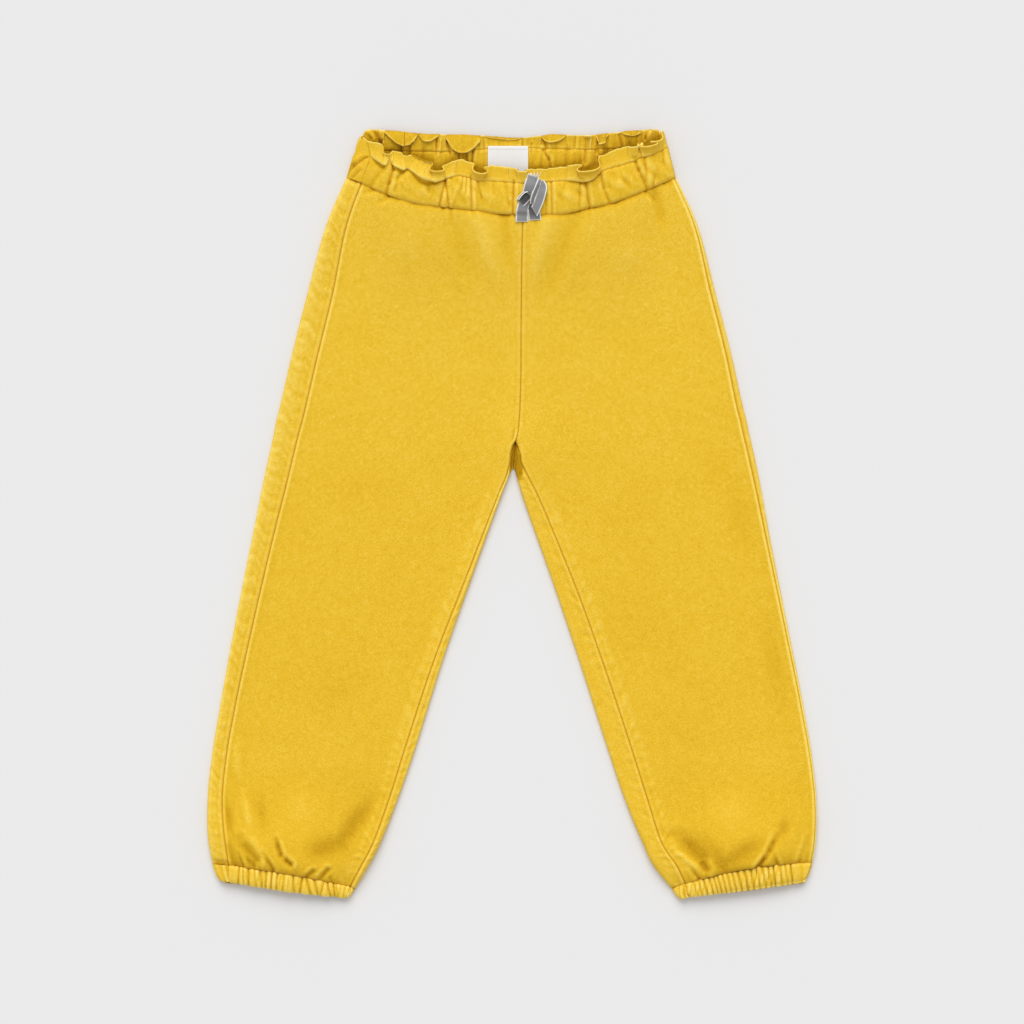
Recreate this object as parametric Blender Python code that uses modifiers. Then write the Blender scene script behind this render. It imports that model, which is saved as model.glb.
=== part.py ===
"""Child's pull-on trousers with a frilled elastic waist, laid flat with the front up.

Each leg is a flattened tube.  The back panel lies on the floor, turns up round both folded
edges and ends at the seams on the upper side; the front panel fills the rest of the upper
side.  The waistband and the hem casings are flattened rings made the same way.
Lengths in the tables are millimetres: x to the wearer's left, y up to the waist, z up from
the surface that the garment lies on.  Meshes are made in metres.
"""
from math import pi

import bmesh
import bpy
import numpy as np

MM = 0.001

# ---- driving dimensions, millimetres
PANEL_WALL = 1.0        # brushed cotton twill with its seam allowances
CASING_WALL = 2.4       # two layers of twill round the elastic
FRILL_WALL = 1.4        # the folded edge that stands above the casing
HEM_WALL = 1.8          # turned-up hem round its elastic
LABEL_WALL = 1.0
LABEL_GAP = 0.6         # under the label, which is sewn along its top edge only
LABEL_CURL = 0.3
RIBBON_WALL = 1.0
SEAM_GAP = 0.3
TURNED_GAP = 0.45       # more room at each edge of a seam that lies on the turn of a fold
CROTCH_GAP = 0.4        # and of the seams that run up the sides of the crotch dip
LIE_GAP = 0.4           # between the two sides of a leg where they lie on each other
FOLD_RADIUS_MIN = 1.3
FOLD_RADIUS_MAX = 3.2

FLAT_TOP = PANEL_WALL + LIE_GAP + PANEL_WALL / 2    # mid height of upper cloth lying flat
WAIST_RISE = 9.6        # how far the gathered waist lifts the front above that
WAIST_REACH = 55.0      # how far down the front the lift fades
HEM_RISE = 6.4          # the same at the ankle
HEM_REACH = 45.0
BALLOON_RISE = 4.0      # cloth puffed out above the gathered hem
BALLOON_REACH = 15.0
EDGE_RISE = 2.0         # springy cloth and seam allowances beside a fold
EDGE_REACH = 13.0
CROTCH_RISE = 3.2       # the gathered cloth round the crotch
CROTCH = (3.0, 54.0)    # where the four panels meet, on the upper side
FORK = (1.3, 33.8)      # top of the gap between the legs
VALLEY_FLOOR = 1.0      # half width of the dip that runs from the crotch to the fork
VALLEY_SLOPE = 2.4

HEM_GATHERS = 22        # in each half of a hem casing
HEM_GATHER_RISE = 0.5
BACK_GATHER_RISE = 0.7  # on the lower half, which stands on its ridges' feet

BAND_ROWS = np.array([0, 0.33, 0.67, 1.0, 1.35, 1.7, 2.0])   # 0 seam, 1 stitch line, 2 rim
THIN_FROM_ROW = 4       # first row of a waistband with the frill's wall

MUSTARD = (0.80, 0.49, 0.035, 1.0)
LABEL_WHITE = (0.86, 0.84, 0.80, 1.0)
RIBBON_GREY = (0.25, 0.25, 0.26, 1.0)


def table(columns, *rows):
    """A short table as one array for each named column."""
    return dict(zip(columns.split(), np.array(rows, dtype=float).T))


# Stations down each leg: the outer fold, the side seam, the seam on the inner side (centre
# front above the crotch, inseam below it) and the inner end of the lower cloth (centre back
# above the fork, inner fold below it).
LEG_COLUMNS = "outer_x outer_y side_x side_y seam_x seam_y inner_x inner_y"
RIGHT_LEG = table(
    LEG_COLUMNS,
    (-123.5, 252.0, -112.0, 248.0, 8.6, 224.0, 3.0, 249.0),
    (-136.0, 223.5, -122.0, 221.0, 7.9, 196.5, 2.6, 211.5),
    (-152.5, 166.5, -134.5, 163.0, 6.8, 142.0, 2.6, 151.5),
    (-164.0, 121.5, -145.5, 118.0, 4.9, 97.0, 2.2, 97.0),
    (-174.5, 76.5, -156.0, 73.0, 3.0, 54.0, 1.3, 33.8),
    (-176.0, 70.5, -157.5, 67.0, 0.0, 46.5, 0.6, 33.6),
    (-177.5, 63.0, -159.5, 60.0, -0.8, 39.0, 0.0, 32.6),
    (-179.0, 55.5, -161.5, 52.0, -2.9, 31.0, -1.4, 29.2),
    (-184.0, 33.0, -167.0, 29.0, -9.5, 15.0, -7.2, 14.5),
    (-194.0, -16.5, -179.0, -19.0, -34.5, -49.0, -30.4, -49.5),
    (-206.0, -76.5, -193.0, -79.0, -57.8, -109.0, -51.4, -109.5),
    (-217.0, -136.5, -206.0, -139.0, -80.2, -177.0, -72.8, -178.0),
    (-224.0, -178.5, -213.5, -181.0, -91.8, -214.0, -85.5, -214.5),
    (-227.6, -214.5, -216.5, -216.0, -103.9, -247.0, -98.6, -247.5),
    (-227.0, -244.5, -214.0, -246.0, -113.6, -265.5, -108.4, -266.0),
    (-224.0, -262.0, -211.5, -263.0, -120.8, -279.0, -117.2, -281.0),
)
LEFT_LEG = table(
    LEG_COLUMNS,
    (123.0, 252.0, 121.8, 251.8, 8.6, 224.0, 3.0, 249.0),
    (137.0, 222.0, 135.0, 221.5, 7.9, 196.5, 2.6, 211.5),
    (152.6, 166.5, 149.2, 165.5, 6.8, 142.0, 2.6, 151.5),
    (164.3, 121.5, 160.5, 120.5, 4.9, 97.0, 2.2, 97.0),
    (174.8, 75.0, 170.6, 73.5, 3.0, 54.0, 1.3, 33.8),
    (176.0, 70.5, 171.8, 69.0, 6.0, 45.5, 1.9, 33.6),
    (177.5, 63.0, 173.3, 61.5, 6.8, 39.5, 2.5, 32.4),
    (179.6, 54.0, 175.5, 52.5, 10.1, 32.5, 3.8, 28.0),
    (185.0, 29.0, 181.1, 27.8, 19.1, 15.0, 7.8, 14.5),
    (194.6, -23.0, 192.0, -24.0, 46.1, -49.5, 30.4, -49.5),
    (206.6, -83.0, 204.6, -83.8, 67.9, -109.5, 50.6, -109.5),
    (218.6, -144.0, 217.0, -144.6, 90.4, -177.0, 72.4, -177.0),
    (225.0, -182.0, 223.6, -182.5, 102.0, -213.8, 85.1, -214.5),
    (228.4, -217.0, 227.2, -217.2, 112.9, -247.0, 98.6, -247.0),
    (227.6, -246.0, 226.4, -246.3, 124.9, -265.5, 108.0, -265.5),
    (225.4, -261.0, 224.2, -261.2, 130.1, -276.5, 120.0, -280.5),
)
CROTCH_STATION = 4
# rows of cloth, as stations of the leg tables: close together at the crotch and the hem
LEG_ROWS = np.array([0, 0.3, 0.65, 1, 1.5, 2, 3, 4, 5, 6, 7, 8, 9, 10, 11, 12, 12.6,
                     13.1, 13.6, 14, 14.35, 14.7, 15])

# Hem casings: the same four lines at the gathered seam and at the lower edge.
HEM_COLUMNS = LEG_COLUMNS + " bow"
RIGHT_HEM = table(
    HEM_COLUMNS,
    (-224.0, -262.0, -211.5, -263.0, -120.8, -279.0, -117.2, -281.0, 1.8),
    (-220.0, -273.8, -211.8, -274.8, -123.6, -287.3, -122.0, -288.2, -1.2),
)
LEFT_HEM = table(
    HEM_COLUMNS,
    (225.4, -261.0, 224.2, -261.2, 130.1, -276.5, 120.0, -280.5, 4.2),
    (221.6, -273.4, 220.4, -273.7, 131.8, -286.4, 124.6, -288.2, -0.6),
)

HEMS = {"right": RIGHT_HEM, "left": LEFT_HEM}

# The front waistband, from the wearer's right side seam to the left one: the seam to the
# panels, the stitch line between casing and frill, and the frill's rim with its height above
# the stitch line.
FRONT_BAND = table(
    "seam_x seam_y stitch_x stitch_y rim_x rim_y rim_rise",
    (-112.0, 248.0, -104.6, 267.0, -107.6, 279.4, 0.6),
    (-100.1, 242.2, -94.1, 261.8, -95.6, 273.4, 1.2),
    (-85.1, 236.2, -80.6, 258.8, -82.1, 269.2, 0.4),
    (-68.6, 231.8, -65.6, 254.2, -65.6, 264.4, 0.8),
    (-53.6, 229.9, -51.4, 252.0, -52.1, 258.8, 2.2),
    (-38.6, 228.4, -38.6, 252.4, -38.6, 264.0, 0.4),
    (-23.6, 226.5, -24.4, 249.8, -22.9, 260.2, 1.8),
    (-8.6, 224.6, -8.6, 247.9, -8.6, 258.8, 0.4),
    (13.9, 224.0, 13.9, 247.5, 13.9, 257.2, 0.6),
    (36.4, 224.2, 36.4, 248.6, 36.4, 258.4, 0.6),
    (57.4, 228.8, 55.1, 252.0, 55.9, 264.0, 2.4),
    (72.4, 231.8, 70.9, 257.2, 70.9, 268.5, 0.4),
    (88.9, 237.8, 85.1, 261.4, 83.6, 273.8, 1.0),
    (103.9, 244.1, 99.4, 267.8, 98.6, 279.0, 2.0),
    (113.6, 248.2, 109.1, 271.6, 108.4, 284.0, 1.2),
    (121.8, 251.8, 116.2, 274.0, 113.0, 287.2, 0.4),
)
# The back waistband, along the floor from fold to fold.
BACK_BAND = table(
    "seam_x seam_y stitch_x stitch_y rim_x rim_y",
    (-123.5, 252.0, -118.8, 267.5, -115.1, 286.8),
    (-112.0, 250.4, -109.1, 271.5, -107.6, 288.0),
    (-91.1, 249.3, -91.1, 272.2, -91.1, 285.8),
    (-68.6, 249.0, -68.6, 272.2, -68.6, 284.0),
    (-46.1, 249.0, -46.1, 272.2, -46.1, 283.6),
    (-23.6, 249.0, -23.6, 273.8, -23.6, 282.8),
    (3.0, 249.0, 3.0, 275.0, 3.0, 281.2),
    (28.9, 249.0, 28.9, 273.8, 28.9, 283.5),
    (58.9, 249.0, 58.9, 273.4, 58.9, 283.5),
    (81.4, 249.0, 81.4, 274.0, 81.4, 285.0),
    (103.9, 250.2, 102.4, 274.8, 100.9, 287.4),
    (123.0, 252.0, 117.4, 274.4, 114.4, 288.2),
)

# Pressed-in folds of the gathered front casing: where each crosses the stitch line and the
# panel seam, its half width and its depth.
FOLD_COLUMNS = "stitch_x seam_x width depth"
FRONT_FOLDS = table(
    FOLD_COLUMNS,
    (-95.6, -104.6, 2.4, 1.1),
    (-88.9, -92.6, 2.2, 2.4),
    (-76.9, -84.4, 3.0, 1.1),
    (-48.8, -51.0, 2.6, 2.3),
    (-38.3, -44.3, 2.2, 1.1),
    (-30.4, -29.6, 2.2, 1.4),
    (-4.9, -1.9, 2.2, 0.6),
    (1.1, 2.3, 2.2, 1.5),
    (27.6, 28.4, 2.6, 0.7),
    (52.0, 55.6, 2.8, 2.3),
    (66.4, 73.1, 2.6, 1.2),
    (90.4, 100.1, 2.4, 2.5),
    (104.0, 106.5, 2.4, 0.9),
)
# Raised folds of the back band, which lies on the floor between them.
BACK_FOLDS = table(
    FOLD_COLUMNS,
    (-92.0, -94.0, 5.0, 2.2),
    (-66.0, -66.0, 5.5, 1.4),
    (-52.0, -53.0, 2.6, 1.2),
    (-36.0, -38.0, 5.0, 1.8),
    (-25.0, -24.0, 2.4, 1.0),
    (24.5, 20.0, 2.4, 1.4),
    (42.0, 42.0, 6.0, 1.3),
    (61.0, 60.0, 3.0, 1.6),
    (70.0, 68.5, 2.6, 2.0),
    (86.0, 87.0, 4.0, 1.2),
    (99.0, 99.0, 3.0, 1.6),
)
# Ruffle waves of the two frills: place, half width, how high each stands and how far it
# pushes the rim toward the waist (+) or the hem (-).
WAVE_COLUMNS = "x width rise push"
FRONT_WAVES = table(
    WAVE_COLUMNS,
    (-104.0, 3.0, 1.6, 1.2),
    (-93.0, 3.0, 1.2, -1.0),
    (-87.0, 2.8, 1.8, 0.8),
    (-67.0, 5.0, 0.8, -0.6),
    (-53.0, 2.6, 2.2, -1.4),
    (-45.0, 3.0, 0.6, 1.0),
    (-26.5, 2.6, 2.0, 1.0),
    (8.0, 2.8, 1.4, -0.6),
    (46.0, 4.0, 1.2, 1.0),
    (56.0, 2.4, 2.4, 1.2),
    (61.0, 2.6, 1.2, -1.6),
    (93.0, 2.6, 1.8, 1.0),
    (98.5, 2.4, 0.8, -1.2),
    (104.0, 2.4, 2.2, 1.0),
)
BACK_WAVES = table(
    WAVE_COLUMNS,
    (-101.0, 2.8, 2.0, -0.6),
    (-88.0, 4.5, 2.4, 0.6),
    (-62.0, 4.5, 1.2, 0.3),
    (-47.5, 2.4, 1.8, -0.5),
    (-34.0, 4.5, 2.0, 0.4),
    (-23.5, 2.4, 1.6, -0.4),
    (-4.0, 4.0, 1.0, 0.5),
    (9.5, 2.6, 1.2, -0.3),
    (24.0, 2.6, 1.8, -0.4),
    (34.0, 4.0, 1.4, 0.6),
    (56.0, 3.0, 1.6, -0.4),
    (70.0, 3.0, 1.9, 0.4),
    (84.0, 3.5, 1.2, -0.4),
    (96.0, 2.8, 1.8, 0.5),
    (104.0, 2.6, 1.8, -0.3),
)

# Creases of the front panels: two ends, half width and depth of each soft trough.
CREASE_COLUMNS = "x0 y0 x1 y1 width depth"
CREASES = table(
    CREASE_COLUMNS,
    # above the right hem
    (-200.0, -240.0, -191.0, -256.0, 3.6, 3.0),
    (-176.0, -244.5, -172.5, -254.5, 2.8, 3.0),
    (-172.5, -254.5, -164.5, -261.5, 2.8, 2.6),
    (-184.0, -256.0, -178.5, -264.5, 2.4, 2.0),
    (-156.0, -270.0, -149.0, -266.0, 2.4, 1.6),
    (-144.5, -273.0, -139.5, -264.5, 2.6, 1.8),
    # above the left hem
    (112.0, -238.5, 127.0, -245.0, 4.0, 1.2),
    (127.0, -245.0, 142.0, -262.0, 4.4, 3.2),
    (196.0, -243.5, 185.0, -263.0, 3.0, 3.4),
    (195.5, -254.0, 199.5, -263.0, 2.4, 1.8),
    (135.5, -266.0, 141.5, -272.0, 2.4, 1.6),
    # below the waistband
    (100.1, 242.0, 106.5, 235.5, 2.6, 2.0),
    (-46.5, 228.0, -43.5, 221.0, 2.4, 1.0),
)

LABEL_X = (-17.6, 12.4)
LABEL_Y = (243.5, 275.4)

# Ribbon strips of the bow: the centre line's points, the width there and how far above the
# waistband each point lies.
RIBBON_COLUMNS = "x y width lift"
BOW_STRIPS = {
    "bow_tail_left": table(
        RIBBON_COLUMNS,
        (9.6, 231.8, 8.4, 0.4),
        (8.4, 226.6, 8.4, 0.4),
        (7.6, 222.4, 8.4, 0.4),
        (7.5, 218.2, 8.6, 0.4),
    ),
    "bow_tail_right": table(
        RIBBON_COLUMNS,
        (17.0, 242.6, 8.4, 0.4),
        (20.2, 237.4, 8.8, 0.6),
        (20.4, 231.6, 8.8, 0.6),
        (17.9, 226.2, 7.6, 0.4),
        (16.9, 223.2, 2.4, 0.4),
    ),
    "bow_loop": table(
        RIBBON_COLUMNS,
        (15.4, 249.4, 9.4, 1.9),
        (13.6, 244.2, 9.2, 2.2),
        (11.0, 239.4, 8.6, 2.2),
        (8.2, 235.2, 8.0, 1.8),
    ),
    "bow_knot": table(
        RIBBON_COLUMNS,
        (6.4, 236.6, 6.6, 3.2),
        (9.4, 234.4, 7.4, 3.5),
        (12.6, 231.8, 6.6, 3.1),
    ),
}


# ---- reading the tables
def read(column, at):
    """Read a table column between its rows, on a smooth curve through them."""
    at = np.clip(np.asarray(at, dtype=float), 0, len(column) - 1)
    low = np.minimum(at.astype(int), len(column) - 2)
    t = at - low
    padded = np.pad(column, 1, mode="reflect", reflect_type="odd")
    before, start, end, after = (padded[low + k] for k in range(4))
    bend = 2 * before - 5 * start + 4 * end - after
    twist = 3 * start - before - 3 * end + after
    return 0.5 * (2 * start + (end - before) * t + bend * t**2 + twist * t**3)


def read_points(tab, name, at):
    """Plan points of one named line of a table."""
    return np.stack([read(tab[name + "_x"], at), read(tab[name + "_y"], at)], axis=-1)


def unit(vectors):
    return vectors / np.linalg.norm(vectors, axis=-1, keepdims=True)


def smooth_step(t):
    t = np.clip(t, 0, 1)
    return t * t * (3 - 2 * t)


def bump(offset, width):
    return np.exp(-(offset / width) ** 2)


# ---- height of the upper cloth
BAND_STATIONS = np.linspace(0, len(FRONT_BAND["seam_x"]) - 1, 61)
WAIST_SEAM = read_points(FRONT_BAND, "seam", BAND_STATIONS)
BACK_SEAM = read_points(BACK_BAND, "seam", np.linspace(0, len(BACK_BAND["seam_x"]) - 1, 61))
OUTLINE_STATIONS = np.linspace(0, len(RIGHT_LEG["outer_x"]) - 1, 91)


def along_outline(leg, line, y):
    """x of a leg's outer or inner fold at the height y in plan."""
    points = read_points(leg, line, OUTLINE_STATIONS)
    return np.interp(-y, -points[:, 1], points[:, 0])


def waist_lift(x):
    """Mid height of the front at the waist seam: lower toward the two side folds."""
    from_side = np.minimum(x - RIGHT_LEG["outer_x"][0], LEFT_LEG["outer_x"][0] - x)
    return FLAT_TOP + WAIST_RISE * (1 - 0.55 * bump(np.maximum(from_side, 0), 25))


def hem_lift(leg, x):
    """Mid height of the front at a hem seam, from its place between the two folds."""
    ends = sorted((leg["outer_x"][-1], leg["inner_x"][-1]))
    from_side = np.maximum(np.minimum(x - ends[0], ends[1] - x), 0)
    return FLAT_TOP + HEM_RISE * (1 - 0.55 * bump(from_side, 20))


def seam_folds(x, folds, across):
    """Depth of the gathered folds at x, read across the casing: 0 panel seam, 1 stitch line."""
    depth = np.zeros_like(x)
    for k in range(len(folds["width"])):
        centre = folds["seam_x"][k] + (folds["stitch_x"][k] - folds["seam_x"][k]) * across
        depth += folds["depth"][k] * bump(x - centre, folds["width"][k])
    return depth


def crease_depth(x, y):
    """Depth of the soft troughs at a plan point, each a segment with rounded ends."""
    depth = np.zeros_like(x)
    for x0, y0, x1, y1, width, deep in zip(*(CREASES[c] for c in CREASE_COLUMNS.split())):
        dx, dy = x1 - x0, y1 - y0
        t = np.clip(((x - x0) * dx + (y - y0) * dy) / (dx**2 + dy**2), 0, 1)
        away = np.hypot(x - x0 - t * dx, y - y0 - t * dy)
        depth += deep * bump(away, width)
    return depth


def upper_cloth(leg, x, y):
    """Mid height of a leg's upper cloth at a plan point, before its edges turn down."""
    side = np.sign(leg["outer_x"][0])
    below_waist = np.maximum(np.interp(x, WAIST_SEAM[:, 0], WAIST_SEAM[:, 1]) - y, 0)
    hem_slope = (leg["inner_y"][-1] - leg["outer_y"][-1])
    hem_slope = hem_slope / (leg["inner_x"][-1] - leg["outer_x"][-1])
    above_hem = np.maximum(y - leg["outer_y"][-1] - hem_slope * (x - leg["outer_x"][-1]), 0)
    from_outer = np.maximum(side * (along_outline(leg, "outer", y) - x), 0)
    from_inner = np.maximum(side * (x - along_outline(leg, "inner", y)), 0)
    legs_part = smooth_step((FORK[1] + 4 - y) / 30)

    z = FLAT_TOP + (waist_lift(x) - FLAT_TOP) * bump(below_waist, WAIST_REACH)
    z = z - seam_folds(x, FRONT_FOLDS, 0) * np.exp(-below_waist / 7)
    z = z + (hem_lift(leg, x) - FLAT_TOP) * bump(above_hem, HEM_REACH)
    puffed = above_hem / BALLOON_REACH
    from_fold = np.minimum(from_outer, from_inner)
    z = z + BALLOON_RISE * puffed * np.exp(1 - puffed) * (1 - 0.6 * bump(from_fold, 18))
    away_from_ends = 1 - bump(below_waist, 40) - bump(above_hem, 30)
    edges = bump(from_outer, EDGE_REACH) + legs_part * bump(from_inner, EDGE_REACH)
    z = z + EDGE_RISE * edges * np.clip(away_from_ends, 0, 1)
    z = z + CROTCH_RISE * np.exp(-((x - CROTCH[0]) / 24) ** 2 - ((y - 46) / 34) ** 2)
    z = np.maximum(z - crease_depth(x, y), FLAT_TOP)

    centre = CROTCH[0] + (FORK[0] - CROTCH[0]) * (CROTCH[1] - y) / (CROTCH[1] - FORK[1])
    in_valley = 1 - smooth_step((np.abs(x - centre) - VALLEY_FLOOR) / VALLEY_SLOPE)
    along = smooth_step((CROTCH[1] + 0.5 - y) / 2.5) * smooth_step((y - FORK[1] + 12) / 10)
    return z - (z - FLAT_TOP) * in_valley * along


# ---- cloth turning over a folded edge
class Fold:
    """A folded edge of a laid-out tube, row by row.

    Lengths along the cloth are counted from the outermost line of the fold: up over the
    upper side they are positive, and down under the lower side negative.
    """

    def __init__(self, outline, toward, wall, top, floor):
        self.inward = unit(toward - outline)
        self.edge = outline + self.inward * wall / 2
        self.top = top
        self.floor = floor
        crest_at = self.edge + self.inward * 2.0
        crest = top(crest_at[:, 0], crest_at[:, 1])
        self.mid = (crest + floor) / 2
        self.radius = np.clip((crest - floor) / 2, FOLD_RADIUS_MIN, FOLD_RADIUS_MAX)
        self.over = pi / 2 * np.sqrt((self.radius**2 + (crest - self.mid) ** 2) / 2)
        self.under = pi / 2 * np.sqrt((self.radius**2 + (self.mid - floor) ** 2) / 2)

    def length_to(self, points):
        """Length over the upper side from the fold's edge to plan points."""
        away = np.linalg.norm(points - self.edge, axis=-1)
        turned = np.arccos(np.clip(1 - away / self.radius, 0, 1)) * 2 / pi * self.over
        return np.where(away < self.radius, turned, self.over + away - self.radius)

    def room(self, points):
        """Room that a seam at these plan points keeps on each side, along the cloth."""
        away = np.linalg.norm(points - self.edge, axis=-1)
        return SEAM_GAP / 2 + TURNED_GAP * (away < self.radius * 1.1)

    def plan(self, length):
        """Plan points at lengths along the cloth, one row of lengths for each row."""
        radius = self.radius[:, None]
        share = np.where(length > 0, length / self.over[:, None], -length / self.under[:, None])
        past = np.where(length > 0, length - self.over[:, None], -length - self.under[:, None])
        away = radius * (1 - np.cos(np.clip(share, 0, 1) * pi / 2)) + np.maximum(past, 0)
        return self.edge[:, None] + self.inward[:, None] * away[..., None]

    def lay(self, length):
        """Points of the cloth at those lengths."""
        plan = self.plan(length)
        share = np.where(length > 0, length / self.over[:, None], -length / self.under[:, None])
        turn = np.sin(np.clip(share, 0, 1) * pi / 2)
        mid = self.mid[:, None]
        above = mid + (self.top(plan[..., 0], plan[..., 1]) - mid) * turn
        below = mid + (self.floor - mid) * turn
        z = np.where(length > 0, above, below)
        return np.concatenate([plan, z[..., None]], axis=-1)

    def settle(self, points, z):
        """Lower heights that lie on the turned part of the fold, seen from above."""
        away = np.linalg.norm(points - self.edge[:, None], axis=-1)
        part = np.clip(1 - away / self.radius[:, None], 0, 1)
        mid = self.mid[:, None]
        return mid + (z - mid) * np.sqrt(1 - part**2)


def spread(start, end, count):
    """Rows of evenly spaced values from each start to each end."""
    share = np.linspace(0, 1, count)
    return start[:, None] + (end - start)[:, None] * share


def between(start, end, count):
    """Rows of evenly spaced plan points from each start to each end."""
    share = np.linspace(0, 1, count)[None, :, None]
    return start[:, None] + (end - start)[:, None] * share


# ---- blender objects
def clear_scene():
    for thing in list(bpy.data.objects):
        bpy.data.objects.remove(thing)


def material(name, colour, roughness):
    made = bpy.data.materials.new(name)
    made.use_nodes = True
    shader = made.node_tree.nodes["Principled BSDF"]
    shader.inputs["Base Color"].default_value = colour
    shader.inputs["Roughness"].default_value = roughness
    shader.inputs["Metallic"].default_value = 0.0
    made.diffuse_color = colour
    return made


def lay_grid(bm, points):
    """Add a grid whose rows and columns lie on the given points, in millimetres."""
    rows, columns = points.shape[:2]
    made = bmesh.ops.create_grid(bm, x_segments=columns - 1, y_segments=rows - 1, size=1)
    for vert in made["verts"]:
        column = round((vert.co.x + 1) / 2 * (columns - 1))
        row = round((vert.co.y + 1) / 2 * (rows - 1))
        vert.co = points[row, column] * MM


def sheet(name, grids, wall, look, collection, thin_from=None, thin_wall=None):
    """A cloth piece: grids joined where their points meet, given a wall by Solidify.

    Past the row thin_from the wall narrows to thin_wall.
    """
    bm = bmesh.new()
    for points in grids:
        lay_grid(bm, points)
    bmesh.ops.remove_doubles(bm, verts=bm.verts, dist=0.00002)
    bmesh.ops.recalc_face_normals(bm, faces=bm.faces)
    mesh = bpy.data.meshes.new(name)
    bm.to_mesh(mesh)
    bm.free()
    mesh.materials.append(look)
    mesh.shade_smooth()
    made = bpy.data.objects.new(name, mesh)
    collection.objects.link(made)
    solidify = made.modifiers.new("wall", "SOLIDIFY")
    solidify.thickness = wall * MM
    solidify.offset = 0
    if thin_from is not None:
        group = made.vertex_groups.new(name="full wall")
        rows, columns = grids[0].shape[:2]
        corners = grids[0].reshape(-1, 3) * MM
        row_of = np.repeat(np.arange(rows), columns)
        for vert in mesh.vertices:
            nearest = np.argmin(np.sum((corners - np.array(vert.co)) ** 2, axis=1))
            group.add([vert.index], float(row_of[nearest] < thin_from), "REPLACE")
        solidify.vertex_group = group.name
        solidify.thickness_vertex_group = thin_wall / wall
    return made


# ---- leg panels
def leg_panels(side_name, leg, looks, collection):
    """The front and back panel of one leg."""
    side = np.sign(leg["outer_x"][0])

    def top(x, y):
        return upper_cloth(leg, x, y)

    rows = LEG_ROWS
    outer, side_seam, seam, inner = (
        read_points(leg, name, rows) for name in ("outer", "side", "seam", "inner"))
    above_crotch = rows < CROTCH_STATION
    crotch_row = rows == CROTCH_STATION
    half_gap = np.array([side * SEAM_GAP / 2, 0])
    crotch_gap = half_gap + [side * CROTCH_GAP, 0]
    floor = PANEL_WALL / 2
    outer_fold = Fold(outer, side_seam, PANEL_WALL, top, floor)
    inner[crotch_row] += crotch_gap
    toward = np.where(above_crotch[:, None], outer, seam)
    toward[crotch_row] += crotch_gap
    inner_fold = Fold(inner, toward, PANEL_WALL, top, floor)
    fan = (rows >= CROTCH_STATION) & (rows <= CROTCH_STATION + 4)

    # front panel: from the side seam to the centre seam or inseam
    to_side = outer_fold.length_to(side_seam)
    side_room = outer_fold.room(side_seam)
    first = outer_fold.plan((to_side + side_room)[:, None])[:, 0]
    to_seam = inner_fold.length_to(seam)
    seam_room = inner_fold.room(seam) + CROTCH_GAP * fan
    last = inner_fold.plan((to_seam + seam_room)[:, None])[:, 0]
    last = np.where(above_crotch[:, None], seam + half_gap, last)
    last[crotch_row] = seam[crotch_row] + crotch_gap + [0, SEAM_GAP]
    last[fan & ~crotch_row, 0] += side * CROTCH_GAP
    plan = between(first, last, 19)
    plan[..., 1] += seam_sag(plan, rows, WAIST_SEAM) + hem_bow(leg, plan, rows, side_name)
    z = outer_fold.settle(plan, top(plan[..., 0], plan[..., 1]))
    lower_rows = ~above_crotch & ~crotch_row
    settled = inner_fold.settle(plan, z)
    z = np.where(lower_rows[:, None], settled, z)
    front = np.concatenate([plan, z[..., None]], axis=-1)
    front[0, :, 1] -= SEAM_GAP / 2
    front[-1, :, 1] += SEAM_GAP / 2
    sheet("front_panel_" + side_name, [front], PANEL_WALL, looks["cloth"], collection)

    # back panel: side seam, outer fold, lower side; then inner fold and inseam
    turned = outer_fold.lay(spread(to_side - side_room, -outer_fold.under, 8))
    below_start = outer_fold.plan(-outer_fold.under[:, None])[:, 0]
    inner_tangent = inner_fold.plan(-inner_fold.under[:, None])[:, 0]
    below_end = np.where(above_crotch[:, None], inner + half_gap, inner_tangent)
    below_plan = between(below_start, below_end, 5)
    below_plan[..., 1] += seam_sag(below_plan, rows, BACK_SEAM)
    below_plan[0, :, 1] -= SEAM_GAP
    lower = np.concatenate([below_plan, np.full(below_plan.shape[:2] + (1,), floor)], axis=-1)
    wide = np.concatenate([turned, lower[:, 1:]], axis=1)
    forked = rows >= CROTCH_STATION
    inner_lengths = spread(-inner_fold.under, to_seam - seam_room, 8)
    narrow = inner_fold.lay(inner_lengths)[forked]
    for grid in (wide, narrow):
        grid[-1, :, 1] += SEAM_GAP / 2
    wide[0, :, 1] -= SEAM_GAP / 2
    sheet("back_panel_" + side_name, [wide, narrow], PANEL_WALL, looks["cloth"], collection)


def seam_sag(plan, rows, waist_seam):
    """A waist seam dips between the side and the centre, and the rows below follow it."""
    start, end = plan[0, 0], plan[0, -1]
    share = (plan[..., 0] - plan[:, :1, 0]) / (plan[:, -1:, 0] - plan[:, :1, 0])
    x = start[0] + (end[0] - start[0]) * share
    seam_y = np.interp(x, waist_seam[:, 0], waist_seam[:, 1])
    chord_y = start[1] + (end[1] - start[1]) * share
    return (seam_y - chord_y) * (1 - smooth_step(rows / 2.5))[:, None]


def hem_bow(leg, plan, rows, side_name):
    """The hem seam bows up between its ends, and the rows above follow it."""
    share = (plan[..., 0] - plan[:, :1, 0]) / (plan[:, -1:, 0] - plan[:, :1, 0])
    bow = HEMS[side_name]["bow"][0] * 4 * share * (1 - share)
    last = len(leg["outer_x"]) - 1
    return bow * smooth_step((rows - last + 2.5) / 2.5)[:, None]


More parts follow.
